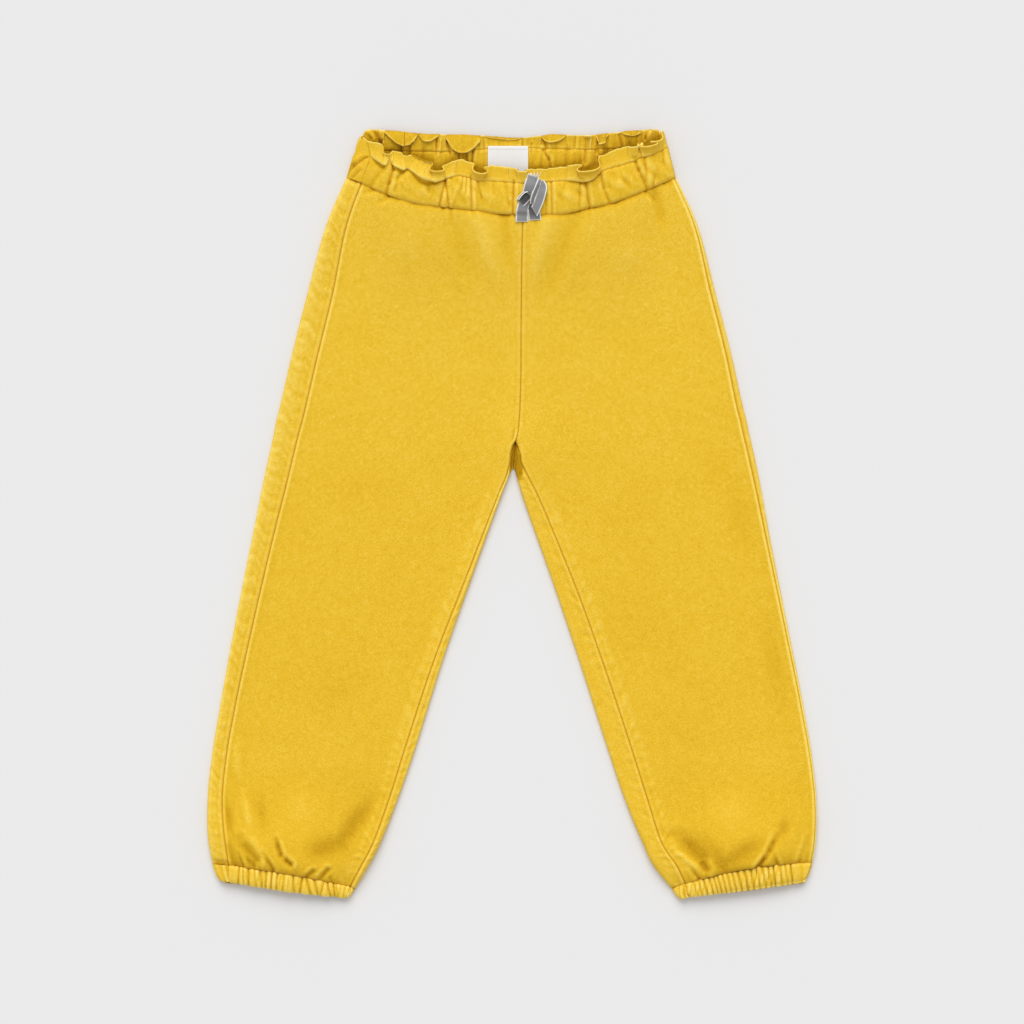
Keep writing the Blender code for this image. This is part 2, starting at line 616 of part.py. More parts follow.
# ---- hem casings
def hem_casing(side_name, hem, leg, looks, collection):
    """The front and back half of one gathered hem casing."""
    rows = np.linspace(0, 1, 3)
    columns = 3 * HEM_GATHERS + 1
    outer, side_seam, seam, inner = (
        read_points(hem, name, rows) for name in ("outer", "side", "seam", "inner"))
    floor = HEM_WALL / 2

    def top(x, y):
        return hem_lift(leg, x)

    def gathers(share):
        ends = smooth_step(share / 0.08) * smooth_step((1 - share) / 0.08)
        return -np.cos(2 * pi * HEM_GATHERS * share) * ends

    outer_fold = Fold(outer, side_seam, HEM_WALL, top, floor)
    inner_fold = Fold(inner, seam, HEM_WALL, top, floor)
    to_side = outer_fold.length_to(side_seam)
    to_seam = inner_fold.length_to(seam)
    side_room = outer_fold.room(side_seam)
    seam_room = inner_fold.room(seam)
    first = outer_fold.plan((to_side + side_room)[:, None])[:, 0]
    last = inner_fold.plan((to_seam + seam_room)[:, None])[:, 0]
    plan = between(first, last, columns)
    share = np.linspace(0, 1, columns)
    plan[..., 1] += read(hem["bow"], rows)[:, None] * 4 * share * (1 - share)
    z = top(plan[..., 0], plan[..., 1]) + HEM_GATHER_RISE * gathers(share)
    z = inner_fold.settle(plan, outer_fold.settle(plan, z))
    front = np.concatenate([plan, z[..., None]], axis=-1)
    front[0, :, 1] -= SEAM_GAP / 2
    sheet("hem_front_" + side_name, [front], HEM_WALL, looks["cloth"], collection)

    left = outer_fold.lay(spread(to_side - side_room, -outer_fold.under, 7))
    right = inner_fold.lay(spread(-inner_fold.under, to_seam - seam_room, 7))
    below = between(left[:, -1, :2], right[:, 0, :2], columns)
    lifted = floor + BACK_GATHER_RISE * np.maximum(gathers(share), 0)
    lifted = np.broadcast_to(lifted, below.shape[:2]).copy()
    lifted[:, [0, -1]] = floor
    lower = np.concatenate([below, lifted[..., None]], axis=-1)
    back = np.concatenate([left, lower[:, 1:-1], right], axis=1)
    back[0, :, 1] -= SEAM_GAP / 2
    sheet("hem_back_" + side_name, [back], HEM_WALL, looks["cloth"], collection)


# ---- waistband
def band_point(tab, stations, row):
    """Plan points of a waistband: up the casing to row 1, and up the frill to row 2."""
    seam, stitch, rim = (read_points(tab, name, stations) for name in ("seam", "stitch", "rim"))
    if row <= 1:
        return seam + (stitch - seam) * row
    return stitch + (rim - stitch) * (row - 1)


def frill_waves(x, waves, row):
    """Rise and push of the ruffle waves at x; they grow from the stitch line to the rim."""
    rise = np.zeros_like(x)
    push = np.zeros_like(x)
    for k in range(len(waves["x"])):
        shape = bump(x - waves["x"][k], waves["width"][k])
        rise += waves["rise"][k] * shape
        push += waves["push"][k] * shape
    grown = smooth_step((row - 0.7) / 1.3)
    return rise * grown, push * grown


def waistband(looks, collection):
    """The front and back waistband, each a casing with its frill."""
    rows = BAND_ROWS
    last_front = len(FRONT_BAND["seam_x"]) - 1
    last_back = len(BACK_BAND["seam_x"]) - 1
    ends = np.array([band_point(BACK_BAND, np.array([0.0, last_back]), row) for row in rows])
    seams = np.array([band_point(FRONT_BAND, np.array([0.0, last_front]), row) for row in rows])
    wall = np.where(np.arange(len(rows)) < THIN_FROM_ROW, CASING_WALL, FRILL_WALL)
    floors = wall / 2

    def top(x, y):
        return waist_lift(x)

    right_fold = Fold(ends[:, 0], seams[:, 0], wall[:, None], top, floors)
    left_fold = Fold(ends[:, 1], seams[:, 1], wall[:, None], top, floors)
    right_fold.floor = left_fold.floor = floors[:, None]
    to_right = right_fold.length_to(seams[:, 0])
    to_left = left_fold.length_to(seams[:, 1])

    right_room = right_fold.room(seams[:, 0])
    left_room = left_fold.room(seams[:, 1])

    # front: the stations between the two side seams, waves and folds added on the way up
    stations = np.linspace(0, last_front, 89)
    first = right_fold.plan((to_right + right_room)[:, None])[:, 0]
    last = left_fold.plan((to_left + left_room)[:, None])[:, 0]
    front = np.zeros((len(rows), len(stations), 3))
    for r, row in enumerate(rows):
        plan = band_point(FRONT_BAND, stations, row)
        plan[0], plan[-1] = first[r], last[r]
        rise, push = frill_waves(plan[:, 0], FRONT_WAVES, row)
        middle = smooth_step(np.minimum(stations, last_front - stations) / 0.8)
        plan[:, 1] += push * middle
        z = waist_lift(plan[:, 0])
        up_frill = max(row - 1, 0)
        z = z - seam_folds(plan[:, 0], FRONT_FOLDS, min(row, 1)) * (1 - 0.6 * up_frill)
        z = z + read(FRONT_BAND["rim_rise"], stations) * up_frill + rise * middle
        front[r, :, :2] = plan
        front[r, :, 2] = z
    settled = left_fold.settle(front[..., :2], right_fold.settle(front[..., :2], front[..., 2]))
    front[..., 2] = settled
    front[0, :, 1] += SEAM_GAP / 2
    sheet("waistband_front", [front], CASING_WALL, looks["cloth"], collection,
          THIN_FROM_ROW, FRILL_WALL)

    # back: side seam, fold, along the floor, fold, side seam
    start = right_fold.lay(spread(to_right - right_room, -right_fold.under, 7))
    finish = left_fold.lay(spread(-left_fold.under, to_left - left_room, 7))
    stations = np.linspace(0, last_back, 67)
    lower = np.zeros((len(rows), len(stations), 3))
    for r, row in enumerate(rows):
        plan = band_point(BACK_BAND, stations, row)
        inside = smooth_step(np.minimum(stations, last_back - stations) / 0.5)
        ends_x = start[r, -1, 0], finish[r, 0, 0]
        squeeze = (plan[:, 0] - plan[0, 0]) / (plan[-1, 0] - plan[0, 0])
        plan[:, 0] = ends_x[0] + (ends_x[1] - ends_x[0]) * squeeze
        plan[0, 1], plan[-1, 1] = start[r, -1, 1], finish[r, 0, 1]
        rise, push = frill_waves(plan[:, 0], BACK_WAVES, row)
        plan[:, 1] += push * inside
        folds = seam_folds(plan[:, 0], BACK_FOLDS, min(row, 1))
        lower[r, :, :2] = plan
        lower[r, :, 2] = floors[r] + (folds + rise) * inside
    back = np.concatenate([start, lower[:, 1:-1], finish], axis=1)
    back[0, :, 1] += SEAM_GAP / 2
    sheet("waistband_back", [back], CASING_WALL, looks["cloth"], collection,
          THIN_FROM_ROW, FRILL_WALL)


# ---- label and bow
def label(looks, collection):
    """The woven label, sewn by its top edge to the inside of the back waistband."""
    height = CASING_WALL + LABEL_GAP + LABEL_WALL / 2
    x, y = np.meshgrid(np.linspace(*LABEL_X, 5), np.linspace(*LABEL_Y, 5))
    curl = LABEL_CURL * np.cos((x - LABEL_X[0]) / (LABEL_X[1] - LABEL_X[0]) * 2 * pi)
    below_top = (LABEL_Y[1] - y) / (LABEL_Y[1] - LABEL_Y[0])
    points = np.stack([x, y, height + curl * below_top], axis=-1)
    sheet("label", [points], LABEL_WALL, looks["label"], collection)


def bow(looks, collection):
    """The flat ribbon bow at the centre front, strips laid over each other."""
    for name, strip in BOW_STRIPS.items():
        at = np.linspace(0, len(strip["x"]) - 1, 3 * len(strip["x"]) - 2)
        centre = read_points({"line_x": strip["x"], "line_y": strip["y"]}, "line", at)
        run = unit(np.gradient(centre, axis=0))
        aside = np.stack([-run[:, 1], run[:, 0]], axis=-1)
        share = np.linspace(-0.5, 0.5, 4)[None, :, None]
        width = read(strip["width"], at)[:, None, None]
        plan = centre[:, None] + aside[:, None] * share * width
        rest = waist_lift(plan[..., 0]) + CASING_WALL / 2 + RIBBON_WALL / 2
        z = rest + read(strip["lift"], at)[:, None]
        points = np.concatenate([plan, z[..., None]], axis=-1)
        sheet(name, [points], RIBBON_WALL, looks["ribbon"], collection)


def main():
    clear_scene()
    trousers = bpy.data.collections.new("pull_on_trousers")
    bpy.context.scene.collection.children.link(trousers)
    looks = {
        "cloth": material("mustard_twill", MUSTARD, 0.9),
        "label": material("white_woven_tape", LABEL_WHITE, 0.7),
        "ribbon": material("grey_ribbon", RIBBON_GREY, 0.6),
    }
    for side_name, leg in (("right", RIGHT_LEG), ("left", LEFT_LEG)):
        leg_panels(side_name, leg, looks, trousers)
        hem_casing(side_name, HEMS[side_name], leg, looks, trousers)
    waistband(looks, trousers)
    label(looks, trousers)
    bow(looks, trousers)


main()
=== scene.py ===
"""Looks of a child's pull-on trousers with a frilled elastic waist, laid flat, front up.

Lengths in the tables are millimetres in the frame's own axes: x to the wearer's left, y up to
the waist, z up from the surface that the garment lies on.  Meshes are made in metres.
"""
from math import pi

import bpy
import mathutils
import numpy as np
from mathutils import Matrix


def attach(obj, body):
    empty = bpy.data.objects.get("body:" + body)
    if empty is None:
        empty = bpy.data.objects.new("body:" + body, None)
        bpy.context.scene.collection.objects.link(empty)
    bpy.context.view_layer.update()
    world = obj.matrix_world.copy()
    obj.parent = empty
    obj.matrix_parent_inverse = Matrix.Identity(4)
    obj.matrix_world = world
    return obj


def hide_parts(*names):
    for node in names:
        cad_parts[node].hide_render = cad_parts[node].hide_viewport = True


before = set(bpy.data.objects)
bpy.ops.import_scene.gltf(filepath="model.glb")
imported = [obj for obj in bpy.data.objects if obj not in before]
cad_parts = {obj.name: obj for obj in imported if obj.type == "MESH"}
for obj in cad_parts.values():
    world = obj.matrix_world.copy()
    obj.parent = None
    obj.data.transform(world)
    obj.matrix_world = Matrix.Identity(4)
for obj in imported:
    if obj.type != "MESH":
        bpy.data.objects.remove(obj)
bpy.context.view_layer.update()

# ---- leg panels ---------------------------------------------------------------------------------
# Brushed cotton twill, garment-dyed.  The back panel of each leg turns up round both folded
# edges; it is seamed to the front panel along the side seam and the inseam.
MM = 0.001
TWILL_WALL = 0.9            # cloth of the panels
FLAT_TOP = 1.9              # mid height of upper cloth lying flat
FOLD_RADIUS = (1.3, 3.2)
WAIST_RISE = 9.6            # how far the gathered waist lifts the front
WAIST_REACH = 55.0
HEM_RISE = 6.4
HEM_REACH = 45.0
BALLOON_RISE = 5.2          # cloth puffed out above the gathered hem
BALLOON_REACH = 20.0
EDGE_RISE = 2.0             # springy cloth and seam allowances beside a fold
EDGE_REACH = 13.0
CROTCH_RISE = 3.4
CROTCH = (3.0, 54.0)
FORK = (1.0, 33.6)
VALLEY_FLOOR = 1.7          # half width of the dark dip between crotch and fork
VALLEY_SLOPE = 1.1
CROTCH_STATION = 4


def table(columns, *rows):
    """A short table as one array for each named column."""
    return dict(zip(columns.split(), np.array(rows, dtype=float).T))


LEG_COLUMNS = "outer_x outer_y side_x side_y seam_x seam_y inner_x inner_y"
RIGHT_LEG = table(LEG_COLUMNS,
    (-123.5, 252, -112, 248, 8.6, 224, 3, 249),
    (-136, 223.5, -122, 221, 7.9, 196.5, 2.6, 211.5),
    (-152.5, 166.5, -134.5, 163, 6.8, 142, 2.6, 151.5),
    (-164, 121.5, -145.5, 118, 4.9, 97, 2.2, 97), (-174.5, 76.5, -156, 73, 3, 54, 1.3, 33.8),
    (-176, 70.5, -157.5, 67, 0, 46.5, 0.6, 33.6),
    (-177.5, 63, -159.5, 60, -0.8, 39, 0, 32.6),
    (-179, 55.5, -161.5, 52, -2.9, 31, -1.4, 29.2), (-184, 33, -167, 29, -9.5, 15, -7.2, 14.5),
    (-194, -16.5, -179, -19, -34.5, -49, -30.4, -49.5),
    (-206, -76.5, -193, -79, -57.8, -109, -51.4, -109.5),
    (-217, -136.5, -206, -139, -80.2, -177, -72.8, -178),
    (-224, -178.5, -213.5, -181, -91.8, -214, -85.5, -214.5),
    (-227.6, -214.5, -216.5, -216, -103.9, -247, -98.6, -247.5),
    (-227, -244.5, -214, -246, -113.6, -265.5, -108.4, -266),
    (-224, -262, -211.5, -263, -120.8, -279, -117.2, -281))
LEFT_LEG = table(LEG_COLUMNS,
    (123, 252, 121.8, 251.8, 8.6, 224, 3, 249),
    (137, 222, 135, 221.5, 7.9, 196.5, 2.6, 211.5),
    (152.6, 166.5, 149.2, 165.5, 6.8, 142, 2.6, 151.5),
    (164.3, 121.5, 160.5, 120.5, 4.9, 97, 2.2, 97), (174.8, 75, 170.6, 73.5, 3, 54, 1.3, 33.8),
    (176, 70.5, 171.8, 69, 6, 45.5, 1.9, 33.6),
    (177.5, 63, 173.3, 61.5, 6.8, 39.5, 2.5, 32.4),
    (179.6, 54, 175.5, 52.5, 10.1, 32.5, 3.8, 28),
    (185, 29, 181.1, 27.8, 19.1, 15, 7.8, 14.5),
    (194.6, -23, 192, -24, 46.1, -49.5, 30.4, -49.5),
    (206.6, -83, 204.6, -83.8, 67.9, -109.5, 50.6, -109.5),
    (218.6, -144, 217, -144.6, 90.4, -177, 72.4, -177),
    (225, -182, 223.6, -182.5, 102, -213.8, 85.1, -214.5),
    (228.4, -217, 227.2, -217.2, 112.9, -247, 98.6, -247),
    (227.6, -246, 226.4, -246.3, 124.9, -265.5, 108, -265.5),
    (225.4, -261, 224.2, -261.2, 130.1, -276.5, 120, -280.5))
LEGS = {"right": RIGHT_LEG, "left": LEFT_LEG}

# The seam that joins the two fronts, from the waist down to the crotch.
CENTRE_SEAM = table("x y",
    (8.6, 224), (7.9, 196.5), (7.3, 142), (6.8, 92), (5.9, 72), (4.6, 60), (3, 54))

# The seam between panels and waistband, in front and behind.
WAIST_SEAM = table("x y",
    (-123.5, 252.6), (-112, 247.9), (-104.6, 244.5), (-97.5, 241), (-89.6, 236.9), (-79.9, 235.7),
    (-74.5, 232.9), (-67, 231.6), (-59.6, 231.2), (-53.6, 229.4), (-45.4, 229), (-31.1, 227.6),
    (-20, 226.2), (-8.6, 224.3), (8.6, 223.9), (33.4, 223.9), (43.9, 225.6), (54, 228),
    (66.4, 229.9), (73, 232.2), (78, 232.2), (83.5, 235.4), (92, 238.6), (101, 242.7),
    (111.4, 246.8), (117.4, 249.4), (123, 252.6))
BACK_WAIST_SEAM = table("x y", (-123.5, 252), (-91, 249.3), (3, 249), (81, 249), (123, 252))

# Creases of the upper side: two ends, half width and depth of each soft trough, and the height
# of the ridge that stands on its left as it is drawn (negative: on its right).
CREASES = table("x0 y0 x1 y1 width depth ridge",
    # above the wearer's right hem
    (-203, -243, -191.5, -258, 4.2, 2.4, 1),
    (-199.5, -255.5, -192, -262.5, 1.7, 2.2, 0.6),
    (-223, -259.5, -213.5, -260.5, 1.6, 2.4, 0.6), (-175.8, -243, -172, -255, 2, 3, 1.1),
    (-172, -255, -164.8, -261.5, 2, 3.2, 1.1),
    (-185.5, -253, -177.8, -265.5, 1.7, 2.3, 0.7), (-203.5, -253, -200, -264, 1.4, 1.5, 0.5),
    (-157, -274, -148, -266.5, 1.9, 2, 0.8), (-145, -274.5, -137, -265.5, 2, 2, 0.8),
    (-134.5, -276, -135.5, -271, 1.4, 1.1, 0.2),
    # above the wearer's left hem
    (111, -238.5, 124, -240.5, 4, 0.9, 0.2), (124, -240.5, 141, -257.5, 5, 2, 0.7),
    (141, -257.5, 144.5, -265, 3.6, 3.2, 1), (119, -249, 143.5, -267.5, 2.2, -1.2, 0),
    (134.6, -265.5, 141.5, -273.5, 1.6, 1.9, 0.6), (198, -241, 192.5, -252, 2.4, 2.4, -0.8),
    (192.5, -252, 181.5, -267, 2, 3.8, -1.4), (196, -254, 200, -266, 1.7, 2, 0.7),
    (216, -258.5, 213, -264, 1.4, 1.6, 0.5), (220, -236, 212.5, -258, 1.8, -0.8, 0),
    # under the waistband
    (100.5, 241.5, 106.5, 235, 1.7, 1.7, -0.5), (-46, 228.5, -44.5, 220, 1.5, 0.7, 0.3),
    (-99, 243, -109.5, 240, 1.8, 0.9, 0.3), (-92, 237, -98, 233, 1.8, 0.9, 0.3),
    (-30.5, 226.5, -26, 220.5, 1.6, 0.7, 0.2),
    # at the crotch
    (2.2, 63.5, 1, 56, 1.1, 1.1, 0.3), (4.6, 57.5, 6.2, 50.5, 1.1, 0.6, 0))


# Broad soft folds: two ends, half width, depth (less than 0: a ridge), and 1 where the second
# end is held by a seam or 0 where the fold fades out at both ends.
SOFT_FOLDS = table("x0 y0 x1 y1 width depth held",
    # falling from the bow and the waistband
    (-6, 160, -26, 222, 6, -1.4, 1), (-26, 160, -44, 214, 8, 1.3, 1),
    (0.5, 176, -6, 223, 4.6, 1.5, 1), (10, 162, 28, 221, 6, -1.5, 1),
    (20, 148, 48, 222, 7.5, 1.5, 1), (115, 208, 107.6, 239, 4, 2, 1),
    (94, 168, 82, 216, 13, -1, 0), (-70, 180, -90, 222, 11, -0.8, 0),
    (-66, 204, -20, 140, 9, 0.7, 0), (62, 196, 26, 132, 10, 0.6, 0),
    (50, 142, 134, 118, 14, 0.7, 0), (-136, 150, -84, 120, 15, 0.5, 0),
    # beside the side seams and down the legs
    (160, 44, 180, -46, 7, 1.6, 0), (184, -58, 208, -172, 6.5, 2.2, 0),
    (142, 74, 168, 0, 11, 0.9, 0), (-160, -70, -114, -170, 20, 0.8, 0),
    (70, -40, 128, -130, 20, 0.8, 0), (104, -140, 170, -196, 16, 0.8, 0),
    (-150, 10, -70, 30, 20, 0.6, 0), (60, 20, 120, -10, 18, 0.6, 0),
    # the puffed cloth above the hems
    (-207, -160, -203, -212, 3.4, -1.5, 0), (-204, -196, -192, -246, 3.2, -1.7, 0),
    (-215, -205, -208, -250, 3.8, 2.2, 0), (-192, -200, -182, -246, 4.4, 1.5, 0),
    (-160, -257, -128, -247, 8, 2.3, 1), (-94, -200, -128, -247, 7, 2.3, 1),
    (-216, -240, -206, -262, 4, 1.6, 1), (122, -232, 158, -262, 7.5, 2.4, 1),
    (196, -240, 158, -262, 6.5, 2, 1), (208, -222, 198, -250, 4.6, 1.7, 0),
    (140, -214, 188, -226, 14, -1, 0), (-176, -214, -136, -222, 14, -1, 0))


def flow(knots, values, at):
    """A curve through values at their knots: on each stretch a cubic whose slopes at both ends
    are those of the parabola through three neighbours."""
    slope = np.gradient(values, knots)
    low = np.clip(np.searchsorted(knots, at, side="right") - 1, 0, len(knots) - 2)
    step = knots[low + 1] - knots[low]
    t = np.clip((at - knots[low]) / step, 0, 1)
    rise = values[low + 1] - values[low]
    start, end = slope[low] * step, slope[low + 1] * step
    return values[low] + t * (start + t * (3 * rise - 2 * start - end
                                           + t * (start + end - 2 * rise)))


def leg_line(leg, name, down):
    """Plan points of one line of a leg where the outer fold is that far below its top."""
    knots = leg["outer_y"][0] - leg["outer_y"]
    return np.stack([flow(knots, leg[name + "_x"], down),
                     flow(knots, leg[name + "_y"], down)], axis=-1)


def height_of(line, x):
    """y of a drawn line at x."""
    return flow(line["x"], line["y"], x)


def bump(offset, width):
    """A bell: exp(-(offset / width)^2)."""
    return np.exp(-(offset / width) ** 2)


def ease(t):
    """3t^2 - 2t^3 between 0 and 1."""
    t = np.clip(t, 0, 1)
    return t * t * (3 - 2 * t)


def uneven(x, pitch, phase=0.0):
    """A wave of about the given pitch whose spacing and height wander: the sum of three sines
    whose pitches have no common multiple."""
    a = 2 * pi * x / pitch + phase
    return 0.5 * np.sin(a) + 0.3 * np.sin(0.63 * a + 1.9) + 0.2 * np.sin(1.71 * a + 0.7)


def along_outline(leg, name, y):
    """x of a leg's outer or inner fold at the height y in plan."""
    points = leg_line(leg, name, np.linspace(0, leg["outer_y"][0] - leg["outer_y"][-1], 241))
    return np.interp(-y, -points[:, 1], points[:, 0])


def waist_lift(x):
    """Mid height of the front at the waist seam: lower toward the two side folds."""
    from_side = np.minimum(x - RIGHT_LEG["outer_x"][0], LEFT_LEG["outer_x"][0] - x)
    return FLAT_TOP + WAIST_RISE * (1 - 0.55 * bump(np.maximum(from_side, 0), 25))


def hem_lift(leg, x):
    """Mid height of the front at a hem seam, from its place between the two folds."""
    ends = sorted((leg["outer_x"][-1], leg["inner_x"][-1]))
    from_side = np.maximum(np.minimum(x - ends[0], ends[1] - x), 0)
    return FLAT_TOP + HEM_RISE * (1 - 0.55 * bump(from_side, 20))


def crease_shape(x, y):
    """Height that the creases add: each is a segment with rounded ends, a bell-shaped trough
    with a bell-shaped ridge beside it; where creases meet, the deeper and the higher count."""
    trough, ridges = np.zeros_like(x), np.zeros_like(x)
    for x0, y0, x1, y1, width, depth, ridge in zip(*CREASES.values()):
        off, t, side = beside_segment(x, y, x0, y0, x1, y1)
        fade = 0.35 + 0.65 * ease(t * 2)
        trough = np.where(depth > 0, np.maximum(trough, depth * fade * bump(off, width)), trough)
        beside = np.abs(off - 1.7 * width) + (side * np.sign(ridge) < 0) * 9.0
        raised = abs(ridge) * fade * bump(beside, 0.8 * width)
        raised = raised - min(depth, 0) * fade * bump(off, width)
        ridges = np.maximum(ridges, raised)
    return ridges - trough


def beside_segment(x, y, x0, y0, x1, y1):
    """Distance of points from a segment, the share along it and the side they are on."""
    dx, dy = x1 - x0, y1 - y0
    t = np.clip(((x - x0) * dx + (y - y0) * dy) / (dx**2 + dy**2), 0, 1)
    off = np.hypot(x - x0 - t * dx, y - y0 - t * dy)
    return off, t, np.sign((y - y0) * dx - (x - x0) * dy)


def soft_shape(x, y):
    """Height that the broad folds add: bells across, eased along; where two meet, the deeper
    and the higher count."""
    trough, ridges = np.zeros_like(x), np.zeros_like(x)
    for x0, y0, x1, y1, width, depth, held in zip(*SOFT_FOLDS.values()):
        off, t, _ = beside_segment(x, y, x0, y0, x1, y1)
        fade = ease(t / 0.6) * (held + (1 - held) * ease((1 - t) / 0.6))
        trough = np.maximum(trough, depth * fade * bump(off, width))
        ridges = np.maximum(ridges, -depth * fade * bump(off, width))
    return ridges - trough


def upper_cloth(leg, x, y):
    """Mid height of a leg's upper cloth in plan, before its edges turn down: flat, plus the
    bells of the lifted waist and hem, the puff above the hem, the springy edges, the gathered
    crotch with its dip, and the creases."""
    side = np.sign(leg["outer_x"][0])
    below_waist = np.maximum(height_of(WAIST_SEAM, x) - y, 0)
    hem_slope = leg["inner_y"][-1] - leg["outer_y"][-1]
    hem_slope = hem_slope / (leg["inner_x"][-1] - leg["outer_x"][-1])
    above_hem = np.maximum(y - leg["outer_y"][-1] - hem_slope * (x - leg["outer_x"][-1]), 0)
    from_outer = np.maximum(side * (along_outline(leg, "outer", y) - x), 0)
    from_inner = np.maximum(side * (x - along_outline(leg, "inner", y)), 0)
    legs_part = ease((FORK[1] + 4 - y) / 30)

    z = FLAT_TOP + (waist_lift(x) - FLAT_TOP) * bump(below_waist, WAIST_REACH)
    z = z + (hem_lift(leg, x) - FLAT_TOP) * bump(above_hem, HEM_REACH)
    puffed = above_hem / BALLOON_REACH
    from_fold = np.minimum(from_outer, from_inner)
    z = z + BALLOON_RISE * puffed * np.exp(1 - puffed) * (1 - 0.6 * bump(from_fold, 18))
    away_from_ends = 1 - bump(below_waist, 40) - bump(above_hem, 30)
    edges = bump(from_outer, EDGE_REACH) + legs_part * bump(from_inner, EDGE_REACH)
    z = z + EDGE_RISE * edges * np.clip(away_from_ends, 0, 1)
    z = z + CROTCH_RISE * np.exp(-((x - CROTCH[0]) / 24) ** 2 - ((y - 46) / 34) ** 2)
    middle = np.clip(away_from_ends, 0, 1) * (1 - bump(from_fold, 22))
    z = z + 0.35 * middle * uneven(x + 0.4 * y, 74.0) * uneven(y - 0.2 * x, 118.0, 2.1)
    z = z + casing_pull(x) * np.exp(-below_waist / 6)
    z = z + hem_pull(leg, x) * np.exp(-above_hem / 4.5)
    z = np.maximum(z + crease_shape(x, y) + soft_shape(x, y), FLAT_TOP)

    centre = CROTCH[0] + (FORK[0] - CROTCH[0]) * (CROTCH[1] - y) / (CROTCH[1] - FORK[1])
    away = np.abs(x - centre) - VALLEY_FLOOR
    in_valley = 1 - ease(away / (VALLEY_SLOPE * np.where(x > centre, 1.5, 1.0)))
    along = ease((CROTCH[1] + 0.3 - y) / 1.2) * ease((y - FORK[1] + 12) / 10)
    return z - (z - FLAT_TOP + 0.6) * in_valley * along


def casing_pull(x):
    """Height that the waistband's gathers give to the panels just below their seam."""
    depth = 0.12 * uneven(x, 6.4)
    for centre, width, deep in zip(WAIST_FOLDS["seam_x"], WAIST_FOLDS["width"],
                                   WAIST_FOLDS["depth"]):
        depth = depth - 0.75 * deep * bump(x - centre, width)
    return depth


def hem_pull(leg, x):
    """Height that a hem's gathers give to the panel just above their seam."""
    gathers = RIGHT_GATHERS if leg is RIGHT_LEG else LEFT_GATHERS
    depth = np.zeros_like(x)
    for centre, width, deep in zip(gathers["x"], gathers["width"], gathers["depth"]):
        depth = depth - 0.45 * deep * bump(x - centre, width)
    return depth


# Pressed-in folds of the gathered front casing, which pull the panels too: where each crosses
# the stitch line and the seam, its half width there and its depth.
WAIST_FOLDS = table("stitch_x seam_x width depth",
    (-95.6, -104.6, 2, 1), (-88.9, -92.6, 1.9, 2.4), (-76.9, -84.4, 2.6, 1),
    (-48.8, -51, 1.7, 2.2), (-47.6, -46.5, 1.2, 1.6), (-38, -44.3, 1.5, 1.2),
    (-33.5, -34.4, 1, 0.7), (-30.4, -29.6, 1.4, 1.3), (-25.9, -23, 1.2, 0.7),
    (-4.9, -1.9, 1.8, 0.6), (1.1, 2.3, 1.4, 1.5), (25.4, 26, 1.6, 0.6), (30, 30.4, 1.5, 0.8),
    (51.4, 50.6, 1.5, 0.9), (53.6, 58.1, 1.6, 2.3), (66.4, 73.1, 2, 1.3), (82, 84, 2, 0.5),
    (90.4, 100.1, 1.5, 2.5), (100, 101.5, 1.6, 0.8), (106.5, 105.5, 1.4, 0.7),
    (115, 114, 1.2, 0.8))
# Gathers of the front halves of the hem casings: where each valley meets the seam, how far it
# slants by the lower edge, its half width and its depth.
GATHER_COLUMNS = "x slant width depth"
RIGHT_GATHERS = table(GATHER_COLUMNS,
    (-215.6, -1.5, 0.9, 0.5), (-214, 1.5, 0.9, 0.7), (-203.3, -0.8, 1, 1.2),
    (-200.6, 0.6, 0.8, 0.8), (-196.5, 0, 1.2, 1.5), (-192, 1.4, 1, 0.8), (-187.5, 1.1, 1.3, 1.3),
    (-183.4, -0.3, 1.1, 1.2), (-178.9, -0.8, 1.2, 1.4), (-174.5, -1.2, 1, 1.2),
    (-170.5, -0.8, 1.1, 0.9), (-163.1, 1, 1.3, 1.2), (-156, -2.2, 1.4, 1.5),
    (-153.5, 3.6, 1.4, 1.4), (-147.5, 3, 1.3, 1.4), (-140, -3, 1.1, 1.1), (-138, 2.8, 1.3, 1.5),
    (-133.2, 1.2, 1.2, 1.5), (-131.2, 1.6, 0.8, 0.8), (-124.5, -1.6, 1, 0.4))
LEFT_GATHERS = table(GATHER_COLUMNS,
    (121, 4.6, 1.1, 1.1), (129, 4.2, 1.2, 0.7), (135.8, 3.6, 1, 0.6), (139.4, 3.4, 1, 0.9),
    (143.2, 3.6, 1.1, 1.3), (147.4, 3.8, 1.1, 1.3), (150.8, 3.6, 1, 1.3), (153.6, 3.8, 1.1, 1.4),
    (157.2, 3.6, 1.1, 1.3), (160.8, 3.6, 1.2, 1.1), (164.6, 3.6, 1.1, 1.3), (168.6, 3.8, 1.3, 1.4),
    (173.6, 3.4, 1.3, 1.5), (178.4, 3, 1.3, 1.3), (182.6, 3.4, 1.2, 1.1), (187, 3.2, 1.2, 1.2),
    (191.4, 3, 1.2, 1.2), (195.4, 2, 1.1, 1.6), (200, 2.6, 1.2, 0.9), (204.2, 2.4, 1, 0.8),
    (208.6, 1.4, 1, 1.6), (216, 1.8, 1.6, 0.4))


